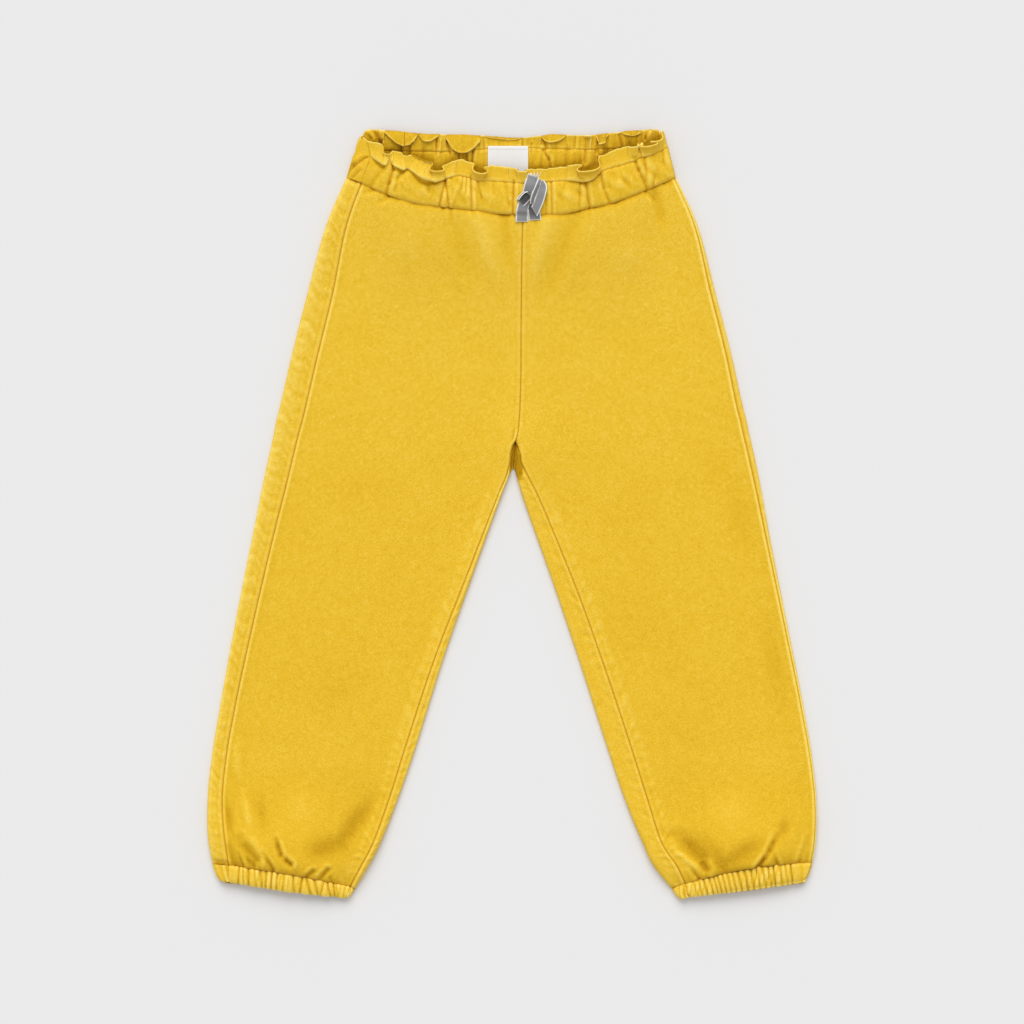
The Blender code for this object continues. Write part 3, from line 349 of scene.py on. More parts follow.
class Fold:
    """A folded edge of a laid-out tube, row by row.

    Lengths along the cloth start at the outermost line of the fold: positive over the upper
    side, negative under the lower side.  In section the cloth is two quarter ellipses.
    """

    def __init__(self, outline, toward, wall, top, floor):
        gap = toward - outline
        self.inward = gap / np.linalg.norm(gap, axis=-1, keepdims=True)
        self.edge = outline + self.inward * wall / 2
        self.top = top
        self.floor = np.broadcast_to(floor, outline.shape[:1])
        crest_at = self.edge + self.inward * 2.0
        crest = top(crest_at[:, 0], crest_at[:, 1])
        self.mid = (crest + self.floor) / 2
        self.radius = np.clip((crest - self.floor) / 2, *FOLD_RADIUS)
        self.over = pi / 2 * np.sqrt((self.radius**2 + (crest - self.mid) ** 2) / 2)
        self.under = pi / 2 * np.sqrt((self.radius**2 + (self.mid - self.floor) ** 2) / 2)

    def length_to(self, points):
        """Length over the upper side from the fold's edge to plan points."""
        away = np.linalg.norm(points - self.edge, axis=-1)
        turned = np.arccos(np.clip(1 - away / self.radius, 0, 1)) * 2 / pi * self.over
        return np.where(away < self.radius, turned, self.over + away - self.radius)

    def lay(self, length):
        """Points of the cloth at rows of lengths along it."""
        radius, mid = self.radius[:, None], self.mid[:, None]
        quarter = np.where(length > 0, self.over[:, None], self.under[:, None])
        turn = np.clip(np.abs(length) / quarter, 0, 1) * pi / 2
        away = radius * (1 - np.cos(turn)) + np.maximum(np.abs(length) - quarter, 0)
        plan = self.edge[:, None] + self.inward[:, None] * away[..., None]
        crest = np.where(length > 0, self.top(plan[..., 0], plan[..., 1]), self.floor[:, None])
        z = mid + (crest - mid) * np.sin(turn)
        return raised(plan, z)

    def settle(self, points, z):
        """Lower heights that lie on the turned part of the fold, seen from above."""
        away = np.linalg.norm(points - self.edge[:, None], axis=-1)
        part = np.clip(1 - away / self.radius[:, None], 0, 1)
        return self.mid[:, None] + (z - self.mid[:, None]) * np.sqrt(1 - part**2)


def shares(length, edge_steps, count):
    """Rows of distances from 0 to each length: set steps at both ends, even in between."""
    start = np.broadcast_to(edge_steps, (len(length), len(edge_steps)))
    inner = np.linspace(0, 1, count + 2)[1:-1]
    first, last = edge_steps[-1], length[:, None] - edge_steps[-1]
    middle = first + (last - first) * inner
    end = length[:, None] - start[:, ::-1]
    return np.concatenate([start, middle, end], axis=1)


def grid_faces(index):
    """Four-cornered faces of a grid of vertex numbers."""
    corners = index[:-1, :-1], index[:-1, 1:], index[1:, 1:], index[1:, :-1]
    return np.stack([c.ravel() for c in corners], axis=-1)


def vertex_normals(points, faces):
    """Unit normals: the sum of the faces' cross products at each vertex."""
    a, b, c, d = (points[faces[:, k]] for k in range(4))
    across = np.cross(c - a, d - b)
    normals = np.zeros_like(points)
    for k in range(4):
        np.add.at(normals, faces[:, k], across)
    return normals / np.maximum(np.linalg.norm(normals, axis=1, keepdims=True), 1e-12)


def numbered(grid, start=0):
    """Vertex numbers of a grid of points, from a first number."""
    rows, columns = grid.shape[:2]
    return start + np.arange(rows * columns).reshape(rows, columns)


def raised(plan, z):
    """Points of plan places at their heights."""
    return np.concatenate([plan, z[..., None]], axis=-1)


def places(across, along):
    """Flat pattern places from two arrays that broadcast together."""
    return np.stack(np.broadcast_arrays(across, along), axis=-1).reshape(-1, 2)


def run_along(points, before=None):
    """Length along each row of points, from its first point or from a point before it."""
    first = points[..., :1, :] if before is None else before
    steps = np.linalg.norm(np.diff(points, axis=-2, prepend=first), axis=-1)
    return np.cumsum(steps, axis=-1)


def sides_of(faces):
    """The two vertex numbers of each side of all faces."""
    return np.concatenate([faces[:, [k, (k + 1) % 4]] for k in range(4)])


def proudness(points, normals, faces):
    """How far the cloth stands proud at each vertex: its mean curvature in 1/mm, ridges
    positive and grooves negative, evened out over the neighbours."""
    edges = sides_of(faces)
    run = points[edges[:, 1]] - points[edges[:, 0]]
    length2 = np.maximum(np.sum(run**2, axis=1), 1e-4)
    total = np.zeros(len(points))
    count = np.zeros(len(points))
    for k, sign in ((0, -1), (1, 1)):
        np.add.at(total, edges[:, k], sign * np.sum(normals[edges[:, k]] * run, axis=1) / length2)
        np.add.at(count, edges[:, k], 1)
    curve = np.clip(total / np.maximum(count, 1), -1.5, 1.5)
    for _ in range(2):
        total = curve * count
        np.add.at(total, edges[:, 0], curve[edges[:, 1]])
        np.add.at(total, edges[:, 1], curve[edges[:, 0]])
        curve = total / (2 * count)
    return curve


def cloth_shell(name, points, faces, flat, half_wall, look, up=None, wear_and_shade=0.0,
                inside=0.0):
    """A closed wall of cloth: its mid surface moved out and in along the normals, the rim
    closed by a strip.  Points, flat pattern places and half walls are in millimetres; wear and
    painted light and shade are added to how proud the cloth stands: edges that rub pale, painted
    light on crests, painted shade in hollows; inside is painted shade added to the inner face
    only."""
    count = len(points)
    normals = vertex_normals(points, faces)
    if up is not None and np.mean(normals[up, 2]) < 0:
        faces = faces[:, ::-1]
        normals = -normals
    # How proud the cloth stands sets its tone: grooves read deep as painted shade, ridges pale as
    # rubbed wear.
    proud = proudness(points, normals, faces) + wear_and_shade
    half = np.broadcast_to(half_wall, (count,))[:, None]
    both = np.concatenate([points + normals * half, points - normals * half])
    sides = sides_of(faces)
    key = sides[:, 0].astype(np.int64) * count + sides[:, 1]
    back = sides[:, 1].astype(np.int64) * count + sides[:, 0]
    rim = sides[~np.isin(key, back)]
    strip = np.stack([rim[:, 1], rim[:, 0], rim[:, 0] + count, rim[:, 1] + count], axis=-1)
    walls = np.concatenate([faces, faces[:, ::-1] + count, strip])

    mesh = bpy.data.meshes.new(name + "_cloth")
    mesh.vertices.add(len(both))
    mesh.vertices.foreach_set("co", (both * MM).astype(np.float32).ravel())
    mesh.loops.add(walls.size)
    mesh.loops.foreach_set("vertex_index", walls.astype(np.int32).ravel())
    mesh.polygons.add(len(walls))
    mesh.polygons.foreach_set("loop_start", np.arange(0, walls.size, 4, dtype=np.int32))
    mesh.update(calc_edges=True)
    pattern = mesh.uv_layers.new(name="pattern")
    places = (np.concatenate([flat, flat]) * MM)[walls.ravel()]
    pattern.data.foreach_set("uv", places.astype(np.float32).ravel())
    worn = mesh.attributes.new("proud", "FLOAT", "POINT")
    worn.data.foreach_set("value", np.concatenate([proud, proud + inside]).astype(np.float32))
    return put_piece(name + "_cloth", mesh, look)


def put_piece(name, mesh, look):
    """Puts a mesh in the scene as one smooth piece of the garment."""
    mesh.shade_smooth()
    mesh.materials.append(look)
    made = bpy.data.objects.new(name, mesh)
    bpy.context.collection.objects.link(made)
    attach(made, "root")
    return made


class Look:
    """A material built node by node on Blender's Principled shader."""

    def __init__(self, name):
        self.material = bpy.data.materials.new(name)
        self.material.use_nodes = True
        self.tree = self.material.node_tree
        self.shader = self.tree.nodes["Principled BSDF"]

    def feed(self, node, inputs):
        """Sets inputs by name or number: a socket is linked, anything else is the value."""
        for key, value in dict(inputs).items():
            if isinstance(value, bpy.types.NodeSocket):
                self.tree.links.new(value, node.inputs[key])
            else:
                node.inputs[key].default_value = value
        return node

    def node(self, kind, inputs=(), **settings):
        """A new node with its own settings and its inputs."""
        made = self.tree.nodes.new("ShaderNode" + kind)
        for key, value in settings.items():
            setattr(made, key, value)
        return self.feed(made, inputs)

    def math(self, operation, *values):
        """Result of a Math node on sockets and numbers."""
        return self.node("Math", enumerate(values), operation=operation).outputs[0]

    def blend(self, share, first, second):
        """Colour between two, by a share from 0 to 1."""
        mixed = self.node("Mix", data_type="RGBA")
        return self.feed(mixed, {"Factor": share, "A": first, "B": second}).outputs["Result"]

    def relief(self, height, strength, distance):
        """Bumps the shader's surface by a height."""
        bumps = self.node("Bump", {"Height": height, "Strength": strength, "Distance": distance})
        self.feed(self.shader, {"Normal": bumps.outputs["Normal"]})


# Noises of the twill: scale, detail, roughness and distortion, and their shares of the tone
# and of the relief.
GRAIN_COLUMNS = "scale detail roughness distortion tone relief"
GRAINS = table(GRAIN_COLUMNS,
               (1000, 2, 0.8, 0, 0.5, 0.6),         # speckle between the threads
               (360, 3, 0.75, 1.7, 0.55, 1),        # fibres
               (150, 2, 0.6, 0.6, 0.12, 0.5),       # nap
               (72, 1, 0.5, 2.2, 0.04, 0.9),        # fine ripples
               (34, 2, 0.5, 0, 0.06, 0))            # mottling of the dye
NAP = 2
WALE_SCALE = 250.0
WALE_TONE = 0.09
WALE_RELIEF = 0.2
EVEN_TONE = 0.52


def brushed_twill(name, colour, weave_tilt):
    """Mustard cotton twill, brushed: the tone is how proud the cloth stands, with its wear and
    painted light and shade, plus a diagonal wave for the wales and five noises, read off a ramp
    from deep (painted shade) through plain to worn (rubbed pale and painted light); the
    relief is the wave and the noises in other shares."""
    look = Look(name)
    pattern = look.node("UVMap", uv_map="pattern").outputs["UV"]
    turned = look.node("Mapping", {"Rotation": (0, 0, weave_tilt), "Vector": pattern})
    wales = look.node("TexWave", {"Scale": WALE_SCALE, "Distortion": 3.2, "Detail": 2.0,
                                  "Detail Scale": 2.6, "Vector": turned.outputs[0]})
    proud = look.node("Attribute", attribute_name="proud").outputs["Fac"]
    tone = look.node("MapRange", {"Value": proud, "From Min": -0.55, "From Max": 0.55,
                                  "To Min": -0.46, "To Max": 0.40}).outputs[0]
    relief = look.math("MULTIPLY", wales.outputs["Fac"], WALE_RELIEF)
    noises = []
    for scale, detail, roughness, distortion, tone_share, relief_share in zip(*GRAINS.values()):
        grain = look.node("TexNoise", {"Scale": scale, "Detail": detail, "Roughness": roughness,
                                       "Distortion": distortion, "Vector": pattern})
        noises.append(grain.outputs["Fac"])
        off_middle = look.math("SUBTRACT", noises[-1], 0.5)
        tone = look.math("ADD", tone, look.math("MULTIPLY", off_middle, tone_share))
        relief = look.math("ADD", relief, look.math("MULTIPLY", noises[-1], relief_share))
    off_middle = look.math("SUBTRACT", wales.outputs["Fac"], 0.5)
    tone = look.math("ADD", tone, look.math("MULTIPLY", off_middle, WALE_TONE))
    ramp = look.node("ValToRGB", {"Fac": look.math("ADD", tone, EVEN_TONE)})
    ramp.color_ramp.elements[0].color = colour["deep"]
    ramp.color_ramp.elements[1].color = colour["worn"]
    ramp.color_ramp.elements.new(0.5).color = colour["plain"]
    look.relief(relief, 0.40, 0.00036)
    roughness = look.node("MapRange", {"Value": noises[NAP], "From Min": 0.3, "From Max": 0.7,
                                       "To Min": 0.82, "To Max": 0.96})
    look.feed(look.shader, {"Base Color": ramp.outputs["Color"],
                            "Roughness": roughness.outputs[0], "Specular IOR Level": 0.06,
                            "Sheen Weight": 0.07, "Sheen Roughness": 0.55,
                            "Sheen Tint": (1.0, 0.86, 0.55, 1.0)})
    return look.material


# Deep is painted shade in grooves and shaded places; worn is rubbed paleness together with painted
# light.
MUSTARD = {"deep": (0.43, 0.215, 0.001, 1), "plain": (0.790, 0.485, 0.025, 1),
           "worn": (0.97, 0.79, 0.20, 1)}
cloth_look = brushed_twill("mustard_brushed_twill", MUSTARD, 0.78)

ROW_STEP = 1.75
COLUMN_STEP = 1.75
EDGE_STEPS = np.array([0, 0.3, 0.65, 1.05, 1.5, 2.0, 2.6, 3.3, 4.1, 5.0])
SEAM_HALF_GAP = 0.12
DIP_HALF_GAP = 0.3
UNDER_STEP = 6.0


def seam_relief(away, along, ridge, dapple, phase):
    """Height beside a seam by the distance from it: the edge turns down into the seam, a ridge
    of allowances stands beside it, and puckers of uneven pitch lie across the allowances."""
    turned_down = -0.90 * bump(away, 0.55)
    allowances = ridge * bump(away - 1.9, 1.15) * (1 + 0.35 * uneven(along, 9.0, phase + 2))
    puckers = dapple * dapples(along + slanted(away, along), phase) * bump(away - 4.6, 3.4)
    return turned_down + allowances + puckers


def dapples(along, phase):
    """Puckers along a seam: an uneven wave whose place wanders by a slow sine."""
    wander = 5.0 * np.sin(along / 37.0 + phase) + 2.2 * np.sin(along / 11.3 + 2 * phase)
    return uneven(along + wander, 8.2, phase)


def seam_wear_light_and_shade(away, along, phase, pale, reach=6.5):
    """Paleness beside a seam: the allowances rub pale in dapples of the puckers' pitch; the
    paleness is scaled up toward the fold beyond as painted light against the fold's shade, and
    painted shade lies in the seam itself.
    """
    strip = bump(np.maximum(away - reach, 0), 2.5) * ease(away / 1.2)
    pale = pale * (1 + 2.0 * ease((away - 3) / 4) + 3.0 * ease((away - 9) / 5))
    mottled = 0.9 * dapples(along + slanted(away, along), phase)
    return strip * pale * (1 + mottled) - 0.30 * bump(away, 0.7)


def slanted(away, along):
    """How far a pucker leans along the seam with the distance from it."""
    return 0.55 * away + 1.8 * np.sin(away / 2.3 + along / 12.7)


def sag_of(plan, down, line):
    """How far a row dips with the waist seam, fading out below the waist."""
    start, end = plan[0, 0], plan[0, -1]
    share = (plan[..., 0] - plan[:, :1, 0]) / (plan[:, -1:, 0] - plan[:, :1, 0])
    seam = height_of(line, start[0] + (end[0] - start[0]) * share)
    chord = start[1] + (end[1] - start[1]) * share
    return (seam - chord) * (1 - ease(down / 75.0))[:, None]


# How far a panel's lower edge bows up above the chord between the two ends of the hem seam.
HEM_BOW = {"right": 1.8, "left": 4.2}
# Wear and painted light and shade, added to how proud the cloth stands: pale (above 0) where
# rubbed and where light is painted, deep where shade is painted.
# On the front's ridge beside the side seam, and on the strip of the back panel outside it.
RUBBED_RIDGE = {"right": 0.14, "left": 0.25}
RUBBED_STRIP = {"right": 0.030, "left": -0.012}
RUBBED_INSEAM = (0.032, 0.02)       # of the front and of the back panel
SEAM_GROOVE_SHADE = (0.30, 0.28)            # painted shade in the side seam and in the inseam
# Painted shadow of the waistband on the panels just below its seam.
WAIST_SEAM_SHADOW = 0.28
# Painted shade on the panels just above the hem seam.
HEM_SEAM_SHADE = 0.12
FOLD_LIGHT_AND_SHADE = (0.060, 0.070)         # painted shade in troughs, painted light on crests: for 1 mm of fold, and more toward the hem
WAIST_LIGHT_HEM_SHADE = 0.055                      # painted light toward the waist, painted shade toward the hem
PLAIN_WEAR = -0.005
# Painted shade in the dip between crotch and fork: its strength, where it starts on each leg, its
# reach and its soft edge.
FORK_SHADE = 1.5
FORK_SHADED_FROM = {"right": 29.0, "left": 22.0}
FORK_WIDE = (6.0, 3.4)


def hem_bow(plan, down, bow):
    """How far a row bows up above the hem seam's chord, fading out above the hem."""
    share = (plan[..., 0] - plan[:, :1, 0]) / (plan[:, -1:, 0] - plan[:, :1, 0])
    return bow * 4 * share * (1 - share) * ease(1 - (down[-1] - down) / 42.0)[:, None]


def leg_panels(side_name, leg):
    """The front and back panel of one leg: rows of points that run from seam to seam, each row
    at one distance down the outer fold."""
    side = np.sign(leg["outer_x"][0])
    stations = leg["outer_y"][0] - leg["outer_y"]
    crotch_down = stations[CROTCH_STATION]
    above = np.linspace(0, crotch_down, round(crotch_down / ROW_STEP) + 1)
    below = np.linspace(crotch_down, stations[-1],
                        round((stations[-1] - crotch_down) / ROW_STEP) + 1)
    down = np.concatenate([above, below[1:]])
    crotch_row = len(above) - 1
    over_body = np.arange(len(down)) < crotch_row
    outer, side_seam, seam, inner = (leg_line(leg, name, down)
                                     for name in ("outer", "side", "seam", "inner"))
    centre_x = flow(-CENTRE_SEAM["y"], CENTRE_SEAM["x"], -seam[:, 1])
    seam[:, 0] = np.where(over_body, centre_x, seam[:, 0])

    def top(x, y):
        """Mid height of this leg's upper cloth."""
        return upper_cloth(leg, x, y)

    floor = TWILL_WALL / 2
    outer_fold = Fold(outer, side_seam, TWILL_WALL, top, floor)
    fork = np.array([side * DIP_HALF_GAP, 0])
    near_fork = bump(np.maximum(down - crotch_down, 0), 30)[:, None] * ~over_body[:, None]
    inner = inner + fork * near_fork
    toward = np.where(over_body[:, None], outer, seam + fork * near_fork)
    inner_fold = Fold(inner, toward, TWILL_WALL, top, floor)
    to_side = outer_fold.length_to(side_seam)
    to_seam = inner_fold.length_to(seam)

    # front panel
    first = outer_fold.lay((to_side + SEAM_HALF_GAP)[:, None])[:, 0, :2]
    last = inner_fold.lay((to_seam + SEAM_HALF_GAP)[:, None])[:, 0, :2]
    last = np.where(over_body[:, None], seam + [side * SEAM_HALF_GAP, 0], last)
    last = last + fork * near_fork
    wide = np.linalg.norm(last - first, axis=-1)
    columns = round(wide.max() / COLUMN_STEP)
    away = shares(wide, EDGE_STEPS, columns)
    part = (away / wide[:, None])[..., None]
    plan = first[:, None] * (1 - part) + last[:, None] * part
    plan[..., 1] += sag_of(plan, down, WAIST_SEAM) + hem_bow(plan, down, HEM_BOW[side_name])
    z = outer_fold.settle(plan, top(plan[..., 0], plan[..., 1]))
    z = np.where(over_body[:, None], z, inner_fold.settle(plan, z))
    from_seam = wide[:, None] - away
    z = z + seam_relief(away, down[:, None], 0.35, 0.12, 0.0)
    forks = ease((down - crotch_down - 20.0) / 40.0)[:, None]
    z = z + seam_relief(from_seam, down[:, None], 0.22, 0.05 + 0.34 * forks, 1.0)
    front = turn_in(raised(plan, z), down)
    index = numbered(front)
    shade = crease_shape(plan[..., 0], plan[..., 1]) + soft_shape(plan[..., 0], plan[..., 1])
    wear_and_shade = seam_wear_light_and_shade(from_seam, down[:, None], 1.0, RUBBED_INSEAM[0]) * (0.2 + 0.8 * forks)
    # Painted shade in the side seam and in the inseam.
    wear_and_shade = wear_and_shade - SEAM_GROOVE_SHADE[0] * bump(away, 0.7)
    wear_and_shade = wear_and_shade - SEAM_GROOVE_SHADE[1] * bump(from_seam, 0.8) * (1 - forks)
    wear_and_shade = wear_and_shade + RUBBED_RIDGE[side_name] * bump(away - 1.4, 0.7)
    # Painted shade in fold troughs and painted light on their crests, stronger near the hem.
    near_hem = ease((-212 - plan[..., 1]) / 14)
    wear_and_shade = wear_and_shade + (FOLD_LIGHT_AND_SHADE[0] + FOLD_LIGHT_AND_SHADE[1] * near_hem) * np.clip(shade, -3, 3)
    # Painted light toward the waist and painted shade toward the hem.
    wear_and_shade = wear_and_shade + WAIST_LIGHT_HEM_SHADE * ease((plan[..., 1] + 70) / 270) + PLAIN_WEAR
    wear_and_shade = wear_and_shade - WAIST_LIGHT_HEM_SHADE * ease((-182 - plan[..., 1]) / 25)
    # Painted shadow of the waistband just below its seam.
    wear_and_shade = wear_and_shade - WAIST_SEAM_SHADOW * bump(down - down[0], 3.2)[:, None]
    # Painted shade just above the hem seam.
    wear_and_shade = wear_and_shade - HEM_SEAM_SHADE * bump(down[-1] - down, 7.0)[:, None]
    cloth_panel("front_panel_" + side_name, front.reshape(-1, 3), grid_faces(index),
                places(away - wide[:, None] / 2, -down[:, None]), index[len(down) // 2, 20],
                wear_and_shade.ravel())

    # back panel: side seam, outer fold, lower cloth, then the inner fold up to the inseam
    turn = outer_fold.under + to_side
    strip = shares(turn - SEAM_HALF_GAP, EDGE_STEPS[:8], max(round(turn.max() / 1.4), 8))
    strip = np.sort(np.minimum(strip, (turn - SEAM_HALF_GAP)[:, None]), axis=1)
    turned = outer_fold.lay((to_side - SEAM_HALF_GAP)[:, None] - strip)
    lies_up = ease((to_side[:, None] - strip) / 3.0)
    turned[..., 2] += seam_relief(strip, down[:, None], 0.5, 0.45, 0.0) * lies_up
    turned[..., 2] = np.maximum(turned[..., 2], floor)
    start = turned[:, -1, :2]
    inner_tangent = inner_fold.lay(-inner_fold.under[:, None])[:, 0, :2]
    end = np.where(over_body[:, None], inner + [side * SEAM_HALF_GAP, 0], inner_tangent)
    part = np.linspace(0, 1, round(wide.max() / UNDER_STEP) + 1)[1:][None, :, None]
    under = start[:, None] * (1 - part) + end[:, None] * part
    under[..., 1] += sag_of(under, down, BACK_WAIST_SEAM)
    under = raised(under, np.full(under.shape[:2], floor))
    wide_part = turn_in(np.concatenate([turned, under], axis=1), down)

    forked = np.arange(len(down)) >= crotch_row
    rise = to_seam[forked] + inner_fold.under[forked] - SEAM_HALF_GAP
    strip_in = shares(rise, EDGE_STEPS[:7], 8)[:, ::-1]
    strip_in = np.sort(np.minimum(strip_in, rise[:, None]), axis=1)[:, 1:]
    lengths = np.zeros((len(down), strip_in.shape[1]))
    lengths[forked] = strip_in - inner_fold.under[forked][:, None]
    narrow = inner_fold.lay(lengths)[forked]
    to_edge = rise[:, None] - strip_in
    lies_up = ease(lengths[forked] / 3.0)
    narrow[..., 2] += seam_relief(to_edge, down[forked][:, None], 0.6, 0.5, 1.0) * lies_up
    narrow[..., 2] = np.maximum(narrow[..., 2], floor)
    narrow = turn_in(narrow, down[forked])

    index = numbered(wide_part)
    index_in = np.concatenate([index[forked, -1:], numbered(narrow, index.size)], axis=1)
    points = np.concatenate([wide_part.reshape(-1, 3), narrow.reshape(-1, 3)])
    faces = np.concatenate([grid_faces(index), grid_faces(index_in)])
    across = run_along(wide_part)
    across_in = across[forked, -1:] + run_along(narrow, wide_part[forked, -1:])
    flat = np.concatenate([places(across, -down[:, None]),
                           places(across_in, -down[forked][:, None])])
    pale = RUBBED_STRIP[side_name]
    wear_and_shade = np.concatenate([
        seam_wear_light_and_shade(across, down[:, None], 0.0, pale, 16.0).ravel(),
        seam_wear_light_and_shade(to_edge, down[forked][:, None], 1.0, RUBBED_INSEAM[1]).ravel()])
    wear_and_shade = wear_and_shade * ease((points[:, 2] - floor) / 0.7)
    # Painted shade in the dip between crotch and fork, along the inner edge.
    in_fork = ease((points[:, 1] - FORK_SHADED_FROM[side_name]) / 13.0)
    in_fork = in_fork * (points[:, 1] < CROTCH[1] + 1)
    reach, soft = FORK_WIDE
    wear_and_shade = wear_and_shade - FORK_SHADE * in_fork * ease((reach + soft - side * points[:, 0]) / soft)
    cloth_panel("back_panel_" + side_name, points, faces, flat, index[len(down) // 2, 1], wear_and_shade)


def turn_in(points, down):
    """The top and bottom rows turn down into the waist seam and the hem seam."""
    from_waist = np.maximum(down - down[0], 0)[:, None]
    from_hem = np.maximum(down[-1] - down, 0)[:, None]
    upper = ease((points[..., 2] - 1.0) / 1.0)
    turned = 1.5 * bump(from_waist, 2.0) + 1.2 * bump(from_hem, 1.8)
    points[..., 2] -= turned * upper
    return points


def cloth_panel(name, points, faces, flat, up, wear_and_shade):
    """One panel as a closed wall of twill, faced outward by a vertex that looks up."""
    panel = cloth_shell(name, points, faces, flat, TWILL_WALL / 2, cloth_look, up,
                        wear_and_shade)
    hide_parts(name)


for side_name, leg in LEGS.items():
    leg_panels(side_name, leg)

# ---- waistband ----------------------------------------------------------------------------------
# An elastic casing of doubled twill whose header stands above the stitch line as a frill: a
# front and a back half, joined at the side seams.  The frill's ruffles open toward the rim.
CASING_HALF = 1.1
FRILL_HALF = 0.5
CASING_PUFF = 1.5           # how far the elastic's gathers puff the casing out
BACK_LIFT = 1.9             # mean height of the back half's gathers above the surface below
BAND_STEP = 0.34
BAND_COLUMNS = "seam_x seam_y stitch_x stitch_y rim_x rim_y rim_rise drop"
FRONT_BAND = table(BAND_COLUMNS,
    (-112, 248, -104.6, 267, -107.6, 279, 0.6, 0.6),
    (-100.1, 242.2, -94.4, 265, -95.6, 274.4, 1.4, 6),
    (-96.4, 240.6, -90.6, 265.8, -91.2, 270.8, 0.6, 0.4),
    (-93, 239.3, -88, 264.2, -88, 271.4, 0.6, 4.2),
    (-85.1, 236.2, -80.6, 261.2, -82.1, 269.6, 1, 5.6),
    (-80.5, 234.8, -76.6, 259.4, -77.5, 268.6, 0.6, 2.4),
    (-68.6, 231.8, -66, 256.2, -66.6, 265.6, 1.6, 8.4),
    (-59.5, 230.6, -57.4, 254.2, -58.6, 262.2, 1.8, 7.6),
    (-53.6, 229.9, -51.4, 252.8, -52.1, 259.4, 1.4, 3.8),
    (-38.6, 228.4, -38.6, 252.2, -38.6, 264.4, 0.4, 0),
    (-23.6, 226.5, -24.4, 249.8, -22.9, 260.4, 1, 0.6),
    (-8.6, 224.6, -8.6, 247.9, -8.6, 259.2, 0.4, 0),
    (13.9, 224, 13.9, 247.5, 13.9, 257.4, 0.6, 0.6),
    (36.4, 224.2, 36.4, 248.6, 36.4, 258.8, 0.6, 0),
    (57.4, 228.8, 55.1, 252, 55.9, 264, 1.4, 4.2),
    (72.4, 231.8, 70.9, 257.2, 70.9, 268.9, 0.4, 0),
    (88.9, 237.8, 85.1, 261.4, 83.6, 274, 0.8, 0.4),
    (103.9, 244.1, 99.4, 267.8, 98.6, 279.6, 1.4, 1),
    (113.6, 248.2, 109.1, 271.6, 108.4, 284, 1.2, 0.8),
    (121.8, 251.8, 116.2, 274, 113, 287.2, 0.4, 0))
BACK_BAND = table(BAND_COLUMNS,
    (-123.5, 252, -118.8, 267.5, -115.1, 286.8, 0, 0),
    (-112, 250.4, -109.1, 271.5, -107.6, 288, 0.6, 0),
    (-91.1, 249.3, -91.1, 272.2, -91.1, 286.4, 1.2, 0.6),
    (-68.6, 249, -68.6, 271.6, -68.6, 284.6, 0.8, 0.4),
    (-46.1, 249, -46.1, 271.6, -46.1, 283.8, 1, 0.4),
    (-23.6, 249, -23.6, 273.2, -23.6, 283, 0.4, 0), (3, 249, 3, 275, 3, 281.4, 0, 0),
    (28.9, 249, 28.9, 273.6, 28.9, 283.6, 0.8, 0),
    (58.9, 249, 58.9, 273.4, 58.9, 283.6, 0.8, 0.4),
    (81.4, 249, 81.4, 274, 81.4, 285.4, 0.6, 0.4),
    (103.9, 250.2, 102.4, 274.8, 100.9, 287.4, 0.6, 0),
    (123, 252, 117.4, 274.4, 114.4, 288.2, 0, 0))
# Gathers of the casings, as creases are given: soft troughs (or, less than 0 deep, ridges).
FRONT_GATHERS = table("x0 y0 x1 y1 width depth ridge",
    (-95.6, 257.5, -104.6, 245.3, 2.3, 0.8, 0.1), (-88.9, 262, -88.1, 256.5, 1.5, 1.9, 0.2),
    (-88.1, 256.5, -91.1, 246.8, 1.9, 2, 0.5), (-91.1, 246.8, -93.4, 238, 1.8, 2, 0.4),
    (-76.9, 258, -85.1, 250.5, 2, 1, 0.1), (-85.1, 250.5, -86.6, 242, 2.2, 0.8, 0.1),
    (-49.1, 250.5, -53.6, 230.5, 1.5, 2, 0.3), (-49.1, 248.5, -46.9, 230.5, 1.4, 2, 0.3),
    (-37.9, 249, -44.6, 232, 1.7, -0.8, 0), (-36.4, 251, -37.1, 242, 1, 0.8, 0.2),
    (-33.4, 251.3, -34.1, 238.5, 1, 0.7, 0.2), (-30.4, 252.5, -29.6, 229, 1.4, 2, 0.5),
    (-25.9, 249.5, -22.1, 235.5, 1.3, 0.8, 0.1), (-4.9, 248, -1.9, 229.5, 1.8, 0.6, 0.1),
    (1.9, 248, 1.1, 224.5, 1.4, 2, 0.5), (25.1, 246, 25.9, 225, 1.5, 0.7, 0.1),
    (29.6, 247, 30.4, 224.8, 1.3, 1.3, 0.3), (51.4, 249, 50.6, 228.8, 1.6, 1, 0.1),
    (54.4, 253.5, 58.1, 229.3, 1.8, 2, 0.4), (66.4, 255, 68.6, 243, 1.7, 1.5, 0.2),
    (68.6, 243, 73.1, 232.3, 1.8, 1.4, 0.2), (91.1, 266.5, 94.9, 256.5, 1.8, 2, 0.5),
    (94.9, 256.5, 100.9, 243, 1.9, 2, 0.5), (99.4, 266.5, 100.9, 249, 1.6, 1, 0.2),
    (106.9, 251.5, 105.4, 244.5, 1.2, 0.8, 0.1), (-60, 252, -62.5, 240, 1.6, 0.4, 0.1),
    (-13, 248, -13.5, 239, 1.5, 0.4, 0.1), (40, 250, 39, 240, 1.6, 0.4, 0.1),
    (80, 259.5, 84, 247, 1.7, 0.5, 0.1), (112.5, 272, 114, 262, 1.5, 0.7, 0.1))
